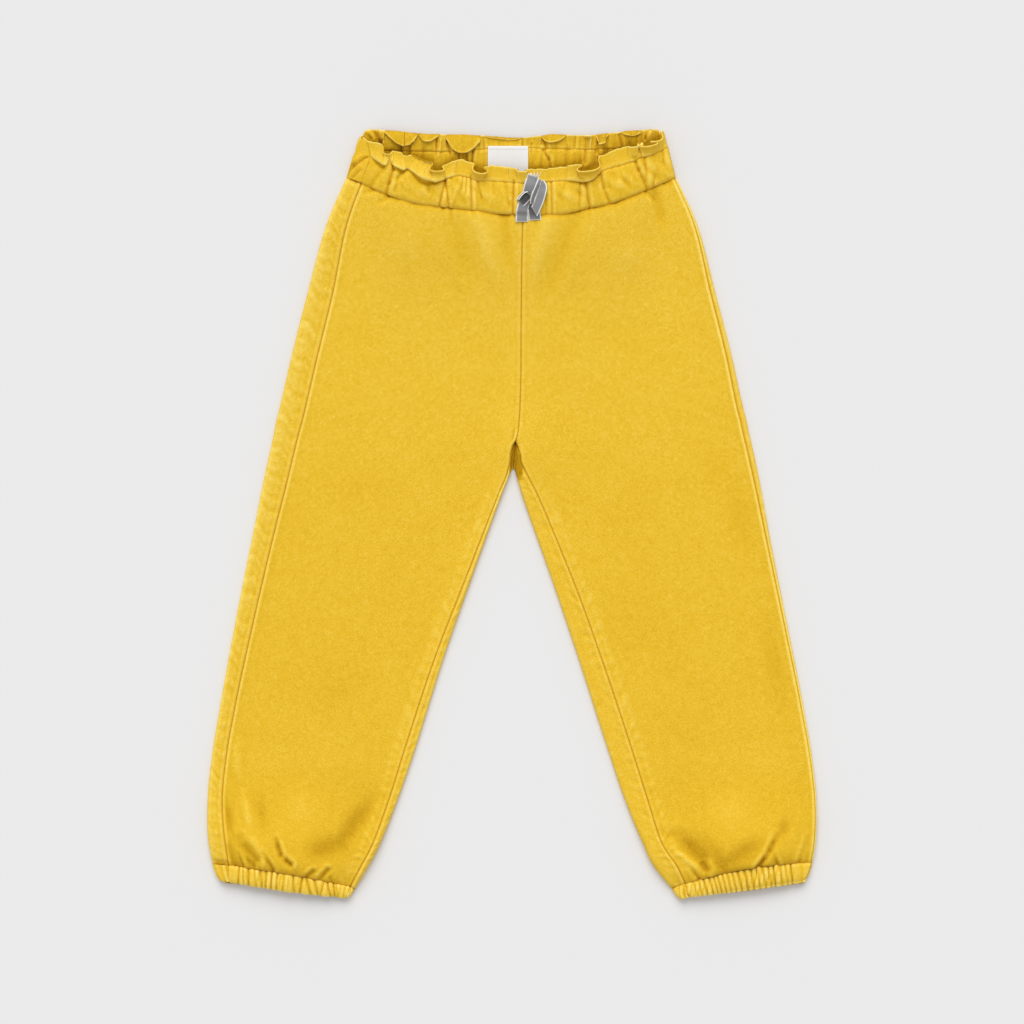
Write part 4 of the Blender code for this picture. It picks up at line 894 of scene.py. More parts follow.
BACK_GATHERS = table("x0 y0 x1 y1 width depth ridge",
    (-111.5, 287, -105, 281, 1.3, 1.4, 0.4), (-103.1, 287.5, -98.6, 279, 1.7, 2.5, 0.6),
    (-98.6, 279, -97.1, 272, 1.5, 2.5, 0.5), (-90, 271, -91.5, 260, 1.8, 1.5, 0.3),
    (-82.1, 277.5, -82.9, 268, 1.5, 2.5, 0.6), (-76.1, 280, -76.1, 266, 1.2, 1.8, 0.4),
    (-66, 271.5, -67.5, 260, 2, 1.5, 0.3), (-55.9, 280.5, -56.6, 269, 1.1, 1.6, 0.4),
    (-52.9, 280, -53.6, 272, 1.2, -0.8, 0), (-49.1, 284, -46.1, 270, 1.3, 1.9, 0.5),
    (-39.4, 271, -39.4, 262.5, 1.1, 1.4, 0.4),
    (-34.1, 271.5, -32.6, 262.5, 1.2, 1.6, 0.4), (-28.9, 275, -29.6, 262, 1.4, 2.5, 0.6),
    (-21, 282, -20.5, 273, 1.1, 1, 0.3), (8.6, 281.5, 7.9, 273, 1.2, 1.4, 0.4),
    (15, 277, 14.5, 270, 1.2, 0.8, 0.2), (22.9, 283, 25.9, 273.5, 1.7, 2.5, 0.6),
    (22.1, 274, 19.1, 259, 2, -0.8, 0), (23.6, 272, 28.1, 265.5, 1.4, 1.8, 0.4),
    (28.1, 265.5, 29.6, 257, 1.4, 1.8, 0.4), (42, 273, 41, 260, 2, 1.2, 0.3),
    (48, 283.5, 47, 274, 1.4, 1, 0.3), (55.9, 281, 55.1, 263.5, 1.7, 2.5, 0.6),
    (66.4, 283.5, 64.1, 272, 1.7, 2.5, 0.6), (63.4, 270, 62.6, 261, 2.2, 1.8, 0.3),
    (72, 273, 71, 262, 1.6, 1.4, 0.4), (80.6, 284, 82.9, 273, 1.3, 1.7, 0.5),
    (88.5, 275, 89.5, 265, 1.7, 1.3, 0.3), (96.4, 287, 97.5, 277, 1.3, 1.6, 0.4),
    (102.5, 288, 100, 281, 1.2, 1.6, 0.4), (108, 287, 108.5, 277, 1.3, 1, 0.3),
    (-15, 268, -16, 258, 1.6, 0.8, 0.2))
# Gathers of the back half where it comes round the folds to the front.
SIDE_GATHERS = table("x0 y0 x1 y1 width depth ridge",
    (-121.5, 251.5, -117.5, 260, 1.6, 1.8, 0.5),
    (-117.5, 260, -107.5, 266.5, 1.6, 1.8, 0.6), (-118.5, 250.5, -113, 256, 1.3, 1, 0.3),
    (119.5, 262, 116.5, 270, 1.3, 1.2, 0.3), (121.5, 253.5, 119.8, 260, 1.2, 1, 0.3))
# Ruffles: place on the stitch line, reach along the frill, how far the sides bulge over the
# neck as a share of the reach, height, lean to the side and tilt toward the waist.
RUFFLE_COLUMNS = "x reach bulge rise lean tilt"
FRONT_RUFFLES = table(RUFFLE_COLUMNS,
    (-99, 6, 0.1, 1.8, 1, 0.8), (-91, 5.6, 0.24, 3.4, -2.2, -2.4), (-77, 5, 0.14, 2, -0.8, -1.2),
    (-62, 6, 0.04, 1.6, -1, 0.4), (-53, 7.8, 0.36, 6.4, -2.2, -4.6),
    (-43.5, 4.6, 0.08, 1.2, 1, 0.4), (-25.6, 8.6, 0.34, 7, 1.6, -7.2), (-12, 8, 0, 0.8, 0, 0.4),
    (1.6, 4.2, 0.16, 1.8, -1, 0), (8.4, 5.8, 0.32, 4.4, -0.8, -2.6), (23, 9, 0, 1, 0, -0.3),
    (44, 7, 0.22, 3.4, 3, -0.6), (57.6, 12.4, 0.35, 8.6, -2.4, -10.2),
    (64.5, 4.4, 0.2, 2.6, 2, 1.6), (76, 8, 0, 0.9, 0, 0.4), (90.8, 6, 0.29, 4.4, 2.2, -2.4),
    (102.4, 9, 0.35, 6.5, -1.2, -7.4), (110.4, 6.8, 0.31, 6.2, 0.4, -6.4))
BACK_RUFFLES = table(RUFFLE_COLUMNS,
    (-101, 4, 0.16, 1.6, 1.2, -0.6), (-88, 8, 0.02, 1.8, 0, 0.3), (-80, 4, 0.18, 1.6, -1, 0),
    (-65.5, 8, 0.05, 2.4, 0, -0.6), (-53, 3.6, 0.18, 1.8, 0, 0), (-37, 8, 0.02, 1.6, 0, 0.2),
    (-22.5, 3.8, 0.2, 1.8, -0.8, 0), (-9, 7, 0, 0.6, 0, 0.2), (10.5, 5, 0.08, 1.2, 0, 0),
    (20.5, 4, 0.2, 1.8, 1, 0), (33, 7, 0.02, 1.6, 0, 0.3), (46, 6, 0.06, 1.2, 0, 0),
    (58.8, 4.4, 0.28, 3.2, 0.4, -0.8), (69.5, 4.6, 0.24, 3, 0, -0.4),
    (77.5, 4.6, 0.1, 1.2, 0, 0.2), (90, 6, 0.06, 1.6, 0, 0.2), (99, 4, 0.2, 2, 0.6, -0.6),
    (107.5, 4, 0.16, 1.6, 0, 0))
# Stretches of the back frill that fall forward over themselves: ends, how far the rim comes
# back toward the hem, how high it lies and how far its lowest point is pushed to one side.
FLAP_COLUMNS = "x0 x1 back rise skew"
BACK_FLAPS = table(FLAP_COLUMNS,
    (-100, -73, 11, 2.4, 1.35), (-51, -23, 14, 2.6, 0.85), (23.5, 42, 6, 1.6, 0.8),
    (65, 74.5, 7.5, 1.8, 0.7), (-72.5, -56, 5.5, 1.6, 0.7), (84, 101, 4, 1.2, 1.3),
    (-21, 8, 1.8, 1, 1))
FRONT_FLAPS = table(FLAP_COLUMNS, (-73, -57.5, 2.4, 0.8, 1.2), (92.5, 98.5, 4, 1.2, 1))


def folds_at(tab, x, y):
    """Height that a table of creases adds: each is a segment with rounded ends, a bell-shaped
    trough with a bell-shaped ridge beside it."""
    height = np.zeros_like(x)
    for x0, y0, x1, y1, width, depth, ridge in zip(*tab.values()):
        near = np.abs(x - (x0 + x1) / 2) < abs(x1 - x0) / 2 + 4 * width
        off, _, side = beside_segment(x[near], y[near], x0, y0, x1, y1)
        beside = np.abs(off - 1.7 * width) + (side * np.sign(ridge) < 0) * 9.0
        height[near] += abs(ridge) * bump(beside, 0.9 * width) - depth * bump(off, width)
    return height


def ruffled(tab, flaps, x, up, grown, tall):
    """Sideways, forward and upward shift of the frill.  Each ruffle is a loop: its cloth goes
    out by a sine of the place along it and up by a bell, both in step with the growth from
    stitch line to rim.  A flap reaches its full height half way up and then turns back."""
    shift = np.zeros(x.shape + (3,))
    for centre, reach, bulge, rise, lean, tilt in zip(*tab.values()):
        u = x - centre
        bell = bump(u, 0.52 * reach)
        window = np.exp(-((u / (0.95 * reach)) ** 6))
        shift[..., 0] += bulge * reach * np.sin(2 * pi * u / reach) * window + lean * bell
        shift[..., 1] += tilt * bell
        shift[..., 2] += rise * bell
    shift *= grown[..., None]
    for start, end, back, rise, skew in zip(*flaps.values()):
        share = np.clip((x - start) / (end - start), 0, 1) ** skew
        held = (1 - (2 * share - 1) ** 2) ** 0.75
        turn = 1 - 0.45 * held
        reached = np.minimum(up / turn, 1) - up
        past = ease((up - turn) / np.maximum(1 - turn, 0.02)) * (held > 0.02)
        shift[..., 1] += tall * reached - back * held * past
        shift[..., 2] += rise * ease(held * 2.5) * ease((up - turn + 0.12) / 0.3)
    return shift


CASING_ROWS = np.concatenate([[0, 0.012, 0.03, 0.055, 0.085], np.linspace(0.12, 0.9, 18),
                              [0.935, 0.965, 0.985]])
FRILL_ROWS = np.concatenate([[0, 0.04, 0.09], np.linspace(0.15, 1.0, 17)])
BAND_ROWS = np.concatenate([CASING_ROWS, 1 + FRILL_ROWS])
LEVEL = BAND_ROWS[:, None]
FRILL_HEIGHT = 12.0
TURN_COLUMNS = 26           # of the back half round each side fold
RUBBED_RIM = 0.55
INNER_FACE_SHADE = -0.95         # painted shade on the front half's inner face, seen only in the frill's loops
RUBBED_CROWN = 0.04
CASING_HEIGHT = 22.0
FRONT_CASING_HEIGHT = 23.0


def band_place(seam, stitch, rim, rows):
    """Places at rows from the seam (0) over the stitch line (1) to the rim (2)."""
    return np.where(rows <= 1, seam + (stitch - seam) * rows, stitch + (rim - stitch) * (rows - 1))


def band_plan(tab, ruffles, flaps, end_reach):
    """One waistband half on its rows and on even columns: x, plan points, growth up the frill,
    bulge of its foot down over the stitch line and how far down, share of the ruffles that the
    distance to the ends leaves, half wall, rise toward the rim and the ruffles' shift."""
    knots = np.arange(len(tab["stitch_x"]))
    x = np.arange(tab["stitch_x"][0], tab["stitch_x"][-1] + BAND_STEP / 2, BAND_STEP)
    station = np.interp(x, tab["stitch_x"], knots)
    lines = [np.stack([flow(knots, tab[name + "_x"], station),
                       flow(knots, tab[name + "_y"], station)], axis=-1)[None]
             for name in ("seam", "stitch", "rim")]
    plan = band_place(*lines, LEVEL[..., None])
    up = np.clip(LEVEL - 1, 0, 1)
    foot = up / 0.15 * np.exp(1 - up / 0.15)
    drop = flow(knots, tab["drop"], station)
    plan[..., 1] -= np.maximum(drop, 0) * foot
    middle = ease(np.minimum(x - x[0], x[-1] - x) / end_reach)
    half = CASING_HALF + (FRILL_HALF - CASING_HALF) * ease((up - 0.02) / 0.2)
    rise = flow(knots, tab["rim_rise"], station) * up
    tall = plan[-1, :, 1] - plan[len(CASING_ROWS), :, 1]
    shift = ruffled(ruffles, flaps, np.broadcast_to(x, plan.shape[:2]), up, up**0.8 * middle,
                    tall)
    return x, plan, up, foot, drop, middle, half, rise, shift


def casing_puff(row):
    """Height of the casing between its seam and its stitch line, and of the two lines' dips."""
    inside = np.clip(row, 0, 1)
    dome = CASING_PUFF * np.sin(pi * inside) ** 0.6 * (row < 1)
    seam_dip = 1.25 * bump(inside * CASING_HEIGHT, 0.75)
    stitch_dip = 1.2 * bump((row - 1) * CASING_HEIGHT, 0.75)
    return dome - seam_dip - stitch_dip


def waistband_front():
    """The front half: its gathers sink into the puffed casing, and its side edges turn down
    round the two folds."""
    x, plan, up, foot, drop, middle, half, rise, shift = band_plan(
        FRONT_BAND, FRONT_RUFFLES, FRONT_FLAPS, 6.0)
    rim_line = plan[-1].copy()
    z = waist_lift(plan[..., 0]) + casing_puff(LEVEL)
    gathers = folds_at(FRONT_GATHERS, plan[..., 0], plan[..., 1]) * np.where(up > 0, 0.5, 1.0)
    puffs = uneven(plan[..., 0] + 0.55 * (plan[..., 1] - 240), 13.5, 0.9) * uneven(
        plan[..., 1] - 0.2 * plan[..., 0], 21.0, 1.7)
    puffs = puffs * np.sin(pi * np.clip(LEVEL, 0, 1))
    z = z + gathers + puffs
    ripple = 0.15 * uneven(plan[..., 0] + 0.25 * plan[..., 1], 8.3)
    z = z + ripple * bump(up, 0.4) + (0.8 + 0.5 * np.maximum(drop, 0)) * foot * (up > 0)
    z = z + rise + 0.5 * up * uneven(x, 10.5, 0.6)
    plan = plan + shift[..., :2]
    plan[..., 1] += 0.4 * up * uneven(x, 7.3, 2.0) * middle
    z = z + shift[..., 2]
    right, left = side_folds(BAND_ROWS)
    points = raised(plan, left.settle(plan, right.settle(plan, z)))
    below = (1 - LEVEL) * FRONT_CASING_HEIGHT
    # Painted shadow on the casing below each frill's overhang and along the stitch line, painted
    # light on the frill's foot and on the puffs, painted shade in the gathers; the rim rubs pale.
    wear_and_shade = rim_wear(points) - 0.75 * bump(below - drop - 0.2, 1.1) * (LEVEL < 1) * ease(drop / 2)
    wear_and_shade = wear_and_shade - 0.36 * bump(below, 0.9) + 0.12 * foot * (drop > 1)
    wear_and_shade = wear_and_shade + 0.20 * puffs + 0.10 * np.clip(gathers, -1.5, 0) - 0.03 * (up <= 0)
    return points, half, wear_and_shade, rim_line


def side_folds(rows):
    """The folds at the two ends of the laid-out waistband, row by row."""
    half = np.where(rows <= 1, CASING_HALF, FRILL_HALF)
    folds = []
    for end in (0, -1):
        outline, toward = (band_end(tab, end, rows) for tab in (BACK_BAND, FRONT_BAND))
        inward = (toward - outline) / np.linalg.norm(toward - outline, axis=1, keepdims=True)
        room = np.minimum(2.4, 0.4 * np.linalg.norm(toward - outline, axis=1, keepdims=True))
        outline = outline + room * np.clip(rows - 1, 0, 1)[:, None] ** 6 * inward
        folds.append(Fold(outline, toward, CASING_HALF * 2, lambda x, y: waist_lift(x), half))
    return folds


def band_end(tab, end, rows):
    """Plan points of one end of a waistband half, row by row."""
    lines = (np.array([tab[name + "_x"][end], tab[name + "_y"][end]])
             for name in ("seam", "stitch", "rim"))
    return band_place(*lines, rows[:, None])


def back_height(x, row, up):
    """Mid height of the back half's inner face: gathers above the surface, with soft domes."""
    z = CASING_HALF + BACK_LIFT + 0.8 * np.sin(pi * np.clip(row, 0, 1)) ** 0.7 * (row < 1)
    stitch_dip = 0.7 * bump((row - 1) * CASING_HEIGHT, 0.9)
    return z + 0.25 * uneven(x, 6.1, 1.2) - stitch_dip + 0.3 * up


def waistband_back():
    """The back half: from the right side seam round the fold, along the surface below, round
    the other fold to the left side seam."""
    right, left = side_folds(BAND_ROWS)
    to_right = right.length_to(band_end(FRONT_BAND, 0, BAND_ROWS)) - SEAM_HALF_GAP
    to_left = left.length_to(band_end(FRONT_BAND, -1, BAND_ROWS)) - SEAM_HALF_GAP
    share = np.linspace(0, 1, TURN_COLUMNS)
    start_at = to_right[:, None] * (1 - share) - right.under[:, None] * share
    start = right.lay(start_at)
    mouth = np.clip(LEVEL - 1, 0, 1) * bump(start_at - 1.4, 2.2)
    start[..., 1] -= 8.5 * mouth
    start[..., 2] += 0.8 * mouth
    finish = left.lay(-left.under[:, None] * (1 - share) + to_left[:, None] * share)
    for side_strip, lies_up in ((start, 1 - share), (finish, share)):
        pressed = folds_at(SIDE_GATHERS, side_strip[..., 0], side_strip[..., 1])
        puff = 0.8 * np.sin(pi * np.clip(LEVEL, 0, 1)) ** 0.7
        side_strip[..., 2] += (pressed + puff) * ease(lies_up * 2.2) * (LEVEL < 1.02)
    _, plan, up, foot, drop, middle, half, rise, shift = band_plan(
        BACK_BAND, BACK_RUFFLES, BACK_FLAPS, 8.0)
    across = (plan[..., 0] - plan[:, :1, 0]) / (plan[:, -1:, 0] - plan[:, :1, 0])
    first, last = start[:, -1:, 0], finish[:, :1, 0]
    plan[..., 0] = first + (last - first) * across
    z = back_height(plan[..., 0], LEVEL, up)
    z = z + folds_at(BACK_GATHERS, plan[..., 0], plan[..., 1])
    z = z + (0.5 + 0.4 * drop) * foot * (up > 0) + rise
    z = np.maximum(z + shift[..., 2], half)
    lower = raised(plan + shift[..., :2], half + (z - half) * middle)
    points = np.concatenate([start, lower[:, 1:-1], finish], axis=1)
    points[..., 2] = np.maximum(points[..., 2], half)
    return points, half


def casing_shell(name, points, heights, half, wear_and_shade, column, inside=0.0):
    """Half of a casing as a closed wall of doubled twill, whose flat pattern runs along its
    middle row and has its rows at the given heights; it faces up at a column of that row."""
    index = numbered(points)
    middle = len(points) // 2
    walls = np.broadcast_to(half, points.shape[:2]).ravel()
    shell = cloth_shell(name, points.reshape(-1, 3), grid_faces(index),
                        places(run_along(points[middle]), heights[:, None]), walls, cloth_look,
                        index[middle, column], wear_and_shade.ravel(), inside)
    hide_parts(name)
    return shell


def rim_wear(points):
    """The frill's folded rim rubs pale, and so does the crown of the casing a little."""
    row = np.broadcast_to(LEVEL, points.shape[:2])
    rim = RUBBED_RIM * bump((2 - row) * FRILL_HEIGHT, 0.8)
    return rim + RUBBED_CROWN * np.sin(pi * np.clip(row, 0, 1))


def rim_wear_and_inside_shade(points, front_rim, rim_line):
    """The rim rubs pale; painted shade lies on the inside of the back half where the front covers
    it, deeper close behind the front's rim and deepest where a ruffle of the front curls away
    from it."""
    rim_x = np.maximum.accumulate(front_rim[:, 0])
    rim_y = np.interp(points[..., 0], rim_x, front_rim[:, 1])
    curled = ease((np.interp(points[..., 0], rim_line[:, 0], rim_line[:, 1]) - rim_y) / 4.0)
    behind = np.maximum(points[..., 1] - rim_y, 0)
    column = np.arange(points.shape[1])
    inner = ease((np.minimum(column, column[::-1]) - TURN_COLUMNS + 2) / 8.0)
    shade = 0.42 * bump(behind, 6.5) + 0.42 * bump(behind, 2.4) + 0.6 * curled * bump(behind, 6.0)
    return rim_wear(points) - (shade + 0.08) * inner


front_points, front_half, front_wear_and_shade, front_line = waistband_front()
back_points, back_half = waistband_back()
band_pattern = BAND_ROWS * CASING_HEIGHT
back_wear_and_shade = rim_wear_and_inside_shade(back_points, front_points[-1], front_line)
band_back = casing_shell("waistband_back", back_points, band_pattern, back_half, back_wear_and_shade,
                         back_points.shape[1] // 2)
band_front = casing_shell("waistband_front", front_points, band_pattern, front_half, front_wear_and_shade,
                          front_points.shape[1] // 2, INNER_FACE_SHADE)

# ---- hem casings --------------------------------------------------------------------------------
# Each leg ends in a turned-up casing gathered on a narrow elastic, a front and a back half.
# The legs and their seams pull the gathers upright on one leg and slanting on the other.
HEM_HALF = 0.9
HEM_PUFF = 1.0
HEM_HEIGHT = 12.5
HEM_PATTERN = 12.0          # height of the hem in its flat pattern
HEM_TURN_COLUMNS = 22       # of the back half round each fold
HEM_STEP = 0.5
HEM_LINES = {
    "right": table(LEG_COLUMNS + " bow",
        (-224, -262, -211.5, -263, -120.8, -279, -117.2, -281, HEM_BOW["right"]),
        (-220, -273.8, -211.8, -274.8, -123.6, -287.3, -122, -288.2, -1.2)),
    "left": table(LEG_COLUMNS + " bow",
        (225.4, -261, 224.2, -261.2, 130.1, -276.5, 120, -280.5, HEM_BOW["left"]),
        (221.6, -273.4, 220.4, -273.7, 131.8, -286.4, 124.6, -288.2, -0.6)),
}
# Where the back half shows below the front: the middle, its reach and how far.
BACK_PEEK = {"right": (-194.0, 34.0, 2.0), "left": (172.0, 22.0, 0.9)}
HEM_ROWS = np.concatenate([[0, 0.03, 0.07, 0.12], np.linspace(0.19, 0.86, 11),
                           [0.92, 0.96, 0.985, 1.0]])


def hem_line(hem, name, rows):
    """Plan points of one line of a hem, from its seam (row 0) to its lower edge (row 1)."""
    ends = np.array([[hem[name + "_x"][k], hem[name + "_y"][k]] for k in (0, 1)])
    return ends[0] + (ends[1] - ends[0]) * rows[:, None]


def hem_gathers(tab, x, rows):
    """Depth of the gathers: valleys that slant from the seam to the lower edge, a little
    shallower half way, with a fine uneven ripple between them."""
    depth = np.zeros_like(x)
    held = 0.82 + 0.18 * np.cos(2 * pi * rows)
    for centre, slant, width, deep in zip(*tab.values()):
        at = centre + slant * rows
        depth = np.maximum(depth, 1.35 * deep * held * bump(x - at, 1.25 * width))
    ripple = uneven(x + 1.5 * rows, 3.2, 0.4) * (0.55 + 0.45 * np.sin(x / 9.7 + 0.8))
    return depth + 0.52 * ripple * (0.4 + 0.6 * np.sin(pi * rows))


def hem_casing(side_name, hem, leg):
    """Both halves of one hem: the front's gathers sink into its puff from fold to fold, and
    the back turns up round both folds and peeks out below."""
    rows = HEM_ROWS
    outer, side_seam, seam, inner = (hem_line(hem, name, rows)
                                     for name in ("outer", "side", "seam", "inner"))
    span = (inner - outer) / np.linalg.norm(inner - outer, axis=1, keepdims=True)
    rounded = rows[:, None] ** 6
    outer, side_seam = outer + 2.0 * rounded * span, side_seam + 0.8 * rounded * span
    inner, seam = inner - 2.4 * rounded * span, seam - 0.8 * rounded * span
    floor = np.full(len(rows), HEM_HALF)

    def top(x, _):
        """Mid height of this hem's upper side."""
        return hem_lift(leg, x)

    outer_fold = Fold(outer, side_seam, HEM_HALF * 2, top, floor)
    inner_fold = Fold(inner, seam, HEM_HALF * 2, top, floor)
    to_side, to_seam = outer_fold.length_to(side_seam), inner_fold.length_to(seam)
    gap = SEAM_HALF_GAP
    first = outer_fold.lay((to_side + gap)[:, None])[:, 0, :2]
    last = inner_fold.lay((to_seam + gap)[:, None])[:, 0, :2]
    count = round(np.linalg.norm(last[0] - first[0]) / HEM_STEP)
    share = np.linspace(0, 1, count + 1)[None]
    plan = first[:, None] + (last - first)[:, None] * share[..., None]
    bow = hem["bow"][0] + (hem["bow"][1] - hem["bow"][0]) * rows[:, None]
    plan[..., 1] += bow * 4 * share * (1 - share)
    tab = RIGHT_GATHERS if side_name == "right" else LEFT_GATHERS
    level = rows[:, None]
    to_edge = (1 - level) * HEM_HEIGHT
    from_top = level * HEM_HEIGHT
    depth = hem_gathers(tab, plan[..., 0], np.broadcast_to(level, plan.shape[:2]))
    puff = HEM_PUFF * np.sin(pi * np.clip(level, 0, 1)) ** 0.6
    puff = puff - 1.1 * bump(from_top, 0.8) - 0.8 * bump(to_edge, 1.1)
    plan[..., 1] += 0.30 * depth * level**3
    away = np.linalg.norm(plan - first[:, None], axis=-1)
    away_in = np.linalg.norm(plan - last[:, None], axis=-1)
    z = top(plan[..., 0], plan[..., 1]) + puff - depth
    z = z - 0.9 * bump(away, 0.7) - 0.9 * bump(away_in, 0.7)
    z = inner_fold.settle(plan, outer_fold.settle(plan, z))
    front = raised(plan, z)
    scallops = np.clip(uneven(plan[..., 0], 5.6, 1.0), 0, 1)
    front[..., 1] -= (0.15 + 0.35 * scallops) * bump(from_top, 1.2)
    # Painted shade in the gathers' valleys and at the seams beside the folds; the lower fold rubs
    # pale.
    wear_and_shade = 0.10 - 0.22 * depth + 0.30 * bump(to_edge, 0.9)
    wear_and_shade = wear_and_shade - 0.4 * bump(np.minimum(away, away_in), 0.8)
    hem_shell("hem_front_", side_name, front, wear_and_shade, front.shape[1] // 2)

    turn = np.linspace(0, 1, HEM_TURN_COLUMNS)
    left = outer_fold.lay((to_side - gap)[:, None] * (1 - turn)
                          - outer_fold.under[:, None] * turn)
    right = inner_fold.lay(-inner_fold.under[:, None] * (1 - turn)
                           + (to_seam - gap)[:, None] * turn)
    below = left[:, -1, None, :2] + (right[:, 0] - left[:, -1])[:, None, :2] * share[..., None]
    centre, reach, peek = BACK_PEEK[side_name]
    below[..., 1] -= peek * level**2 * np.exp(-((below[..., 0] - centre) / reach) ** 4)
    ends = ease(share / 0.06) * ease((1 - share) / 0.06)
    waves = 0.5 + 0.5 * uneven(below[..., 0] + 1.2 * level, 4.6, 1.0)
    below[..., 1] += 0.5 * waves * level**3 * ends
    lifted = HEM_HALF + 1.5 * np.clip(waves, 0, 1) * ends
    lower = raised(below, lifted)
    back = np.concatenate([left, lower[:, 1:-1], right], axis=1)
    back[0, :, 1] -= 0.15
    puckers = 0.55 * uneven(np.cumsum(np.full(back.shape[1], 0.55)) + 2.0 * level, 3.6, 2.0)
    upward = ease((back[..., 2] - 2.2) / 1.6)
    back[..., 2] += (puckers + 0.5 * np.sin(pi * level)) * upward
    column = np.arange(back.shape[1])
    peeking = np.minimum(column, column[::-1] + 1) > HEM_TURN_COLUMNS + 2
    # Painted light on the puckers' crests and painted shade on the back where it peeks out below
    # the front.
    wear_and_shade = 0.04 + 0.25 * puckers * upward - 0.40 * peeking
    hem_shell("hem_back_", side_name, back, wear_and_shade, 0)


def hem_shell(half_name, side_name, points, wear_and_shade, column):
    """One half of a hem casing."""
    shell = casing_shell(half_name + side_name, points, HEM_ROWS * HEM_PATTERN, HEM_HALF, wear_and_shade,
                         column)


for side_name, leg in LEGS.items():
    hem_casing(side_name, HEM_LINES[side_name], leg)

# ---- label --------------------------------------------------------------------------------------
# A bare white woven tape, folded under at its top edge and sewn to the inside of the back
# casing along the stitch line; it hangs free below and waves a little with the gathers.
LABEL_X = (-17.6, 12.4)
LABEL_Y = (243.5, 275.4)
LABEL_HALF = 0.22
LABEL_SEAM_Y = 249.0        # the back casing's seam under the label
LABEL_SEAM_TO_STITCH = 26.0
TAPE_WHITE = {"thread": (0.86, 0.845, 0.82, 1), "gap": (0.71, 0.695, 0.67, 1)}
THREADS_ALONG = 620.0
DEEP_SHADE = (0.012, 0.012, 0.013, 1)


def woven_tape(name, colour, ribs_across, roughness, depth):
    """Woven tape: threads both ways as two waves of the pattern's own lengths, with yarn noise;
    where the attribute is above 0 the tape is as pale as its edge, and below 0 in shade."""
    look = Look(name)
    pattern = look.node("UVMap", uv_map="pattern").outputs["UV"]
    warp, weft = (look.node("TexWave", {"Scale": scale, "Distortion": 0.7, "Detail": 2.0,
                                        "Vector": pattern}, bands_direction=direction)
                  for direction, scale in (("X", THREADS_ALONG), ("Y", ribs_across)))
    yarn = look.node("TexNoise", {"Scale": 1100.0, "Detail": 3.0, "Vector": pattern})
    woven = look.math("MULTIPLY_ADD", warp.outputs["Fac"], 0.35, weft.outputs["Fac"])
    shade = look.math("MULTIPLY_ADD", yarn.outputs["Fac"], 0.5, woven)
    tone = look.node("MapRange", {"Value": shade, "From Max": 1.6})
    body = look.blend(tone.outputs[0], colour["gap"], colour["thread"])
    edge = look.node("Attribute", attribute_name="proud").outputs["Fac"]
    edged = look.blend(edge, body, colour.get("edge", colour["thread"]))
    shaded = look.blend(look.math("MULTIPLY", edge, -1.0), edged, DEEP_SHADE)
    look.relief(shade, 0.5, depth)
    look.feed(look.shader, {"Base Color": shaded, "Roughness": roughness,
                            "Specular IOR Level": 0.3, "Sheen Weight": 0.08})
    return look.material


def edge_paleness(piece, values):
    """Sets how pale each vertex of a tape is, the same on both of its faces."""
    worn = piece.data.attributes["proud"]
    worn.data.foreach_set("value", np.concatenate([values, values]).astype(np.float32))


def sewn_label():
    """The tape on a grid of places across (u) and down (v): it lies on the back casing, its top
    edge a doubled fold, its free corners a little lifted."""
    u = np.linspace(0, 1, 61)
    v = np.concatenate([[0, 0.012, 0.03, 0.05, 0.07], np.linspace(0.09, 1, 40)])
    across, down = np.meshgrid(u, v)
    x = LABEL_X[0] + (LABEL_X[1] - LABEL_X[0]) * across
    y = LABEL_Y[1] - (LABEL_Y[1] - LABEL_Y[0]) * down
    x = x + 0.15 * np.sin(3.0 * down + 0.5) * (across - 0.5)
    row = (y - LABEL_SEAM_Y) / LABEL_SEAM_TO_STITCH
    lies_on = back_height(x, np.minimum(row, 0.93), 0) + CASING_HALF
    z = lies_on + LABEL_HALF + 0.25 + 0.35 * down * np.sin(2.2 * pi * across + 0.6)
    z = z + 0.5 * down * np.abs(2 * across - 1) ** 3
    z = z + 0.22 * bump((down - 0.045) * 32, 1.0) - 0.5 * bump(down * 32, 0.5)
    points = np.stack([x, y, z], axis=-1)
    index = numbered(points)
    tape = cloth_shell("label", points.reshape(-1, 3), grid_faces(index), places(x, y), LABEL_HALF,
                       woven_tape("white_woven_tape", TAPE_WHITE, 760.0, 0.42, 0.00006),
                       index[20, 30])
    edge_paleness(tape, bump((np.minimum(across, 1 - across) * 30).ravel(), 0.5))
    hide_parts("label")
    return points


label_points = sewn_label()

# ---- ribbon bow ---------------------------------------------------------------------------------
# A small bow of grey grosgrain ribbon with pale edges, tied through the front casing and left
# with cut ends, its top end frayed; each strip lies on what is under it.
RIBBON_HALF = 0.21
FRAY_HALF = 0.12
BOW_FACES_UP = 300          # a vertex of the left tail, which looks up
BOW_CASING_HEIGHT = 23.5
RIBBON_GREY = {"thread": (0.29, 0.29, 0.295, 1), "gap": (0.17, 0.17, 0.175, 1),
               "edge": (0.88, 0.88, 0.87, 1)}
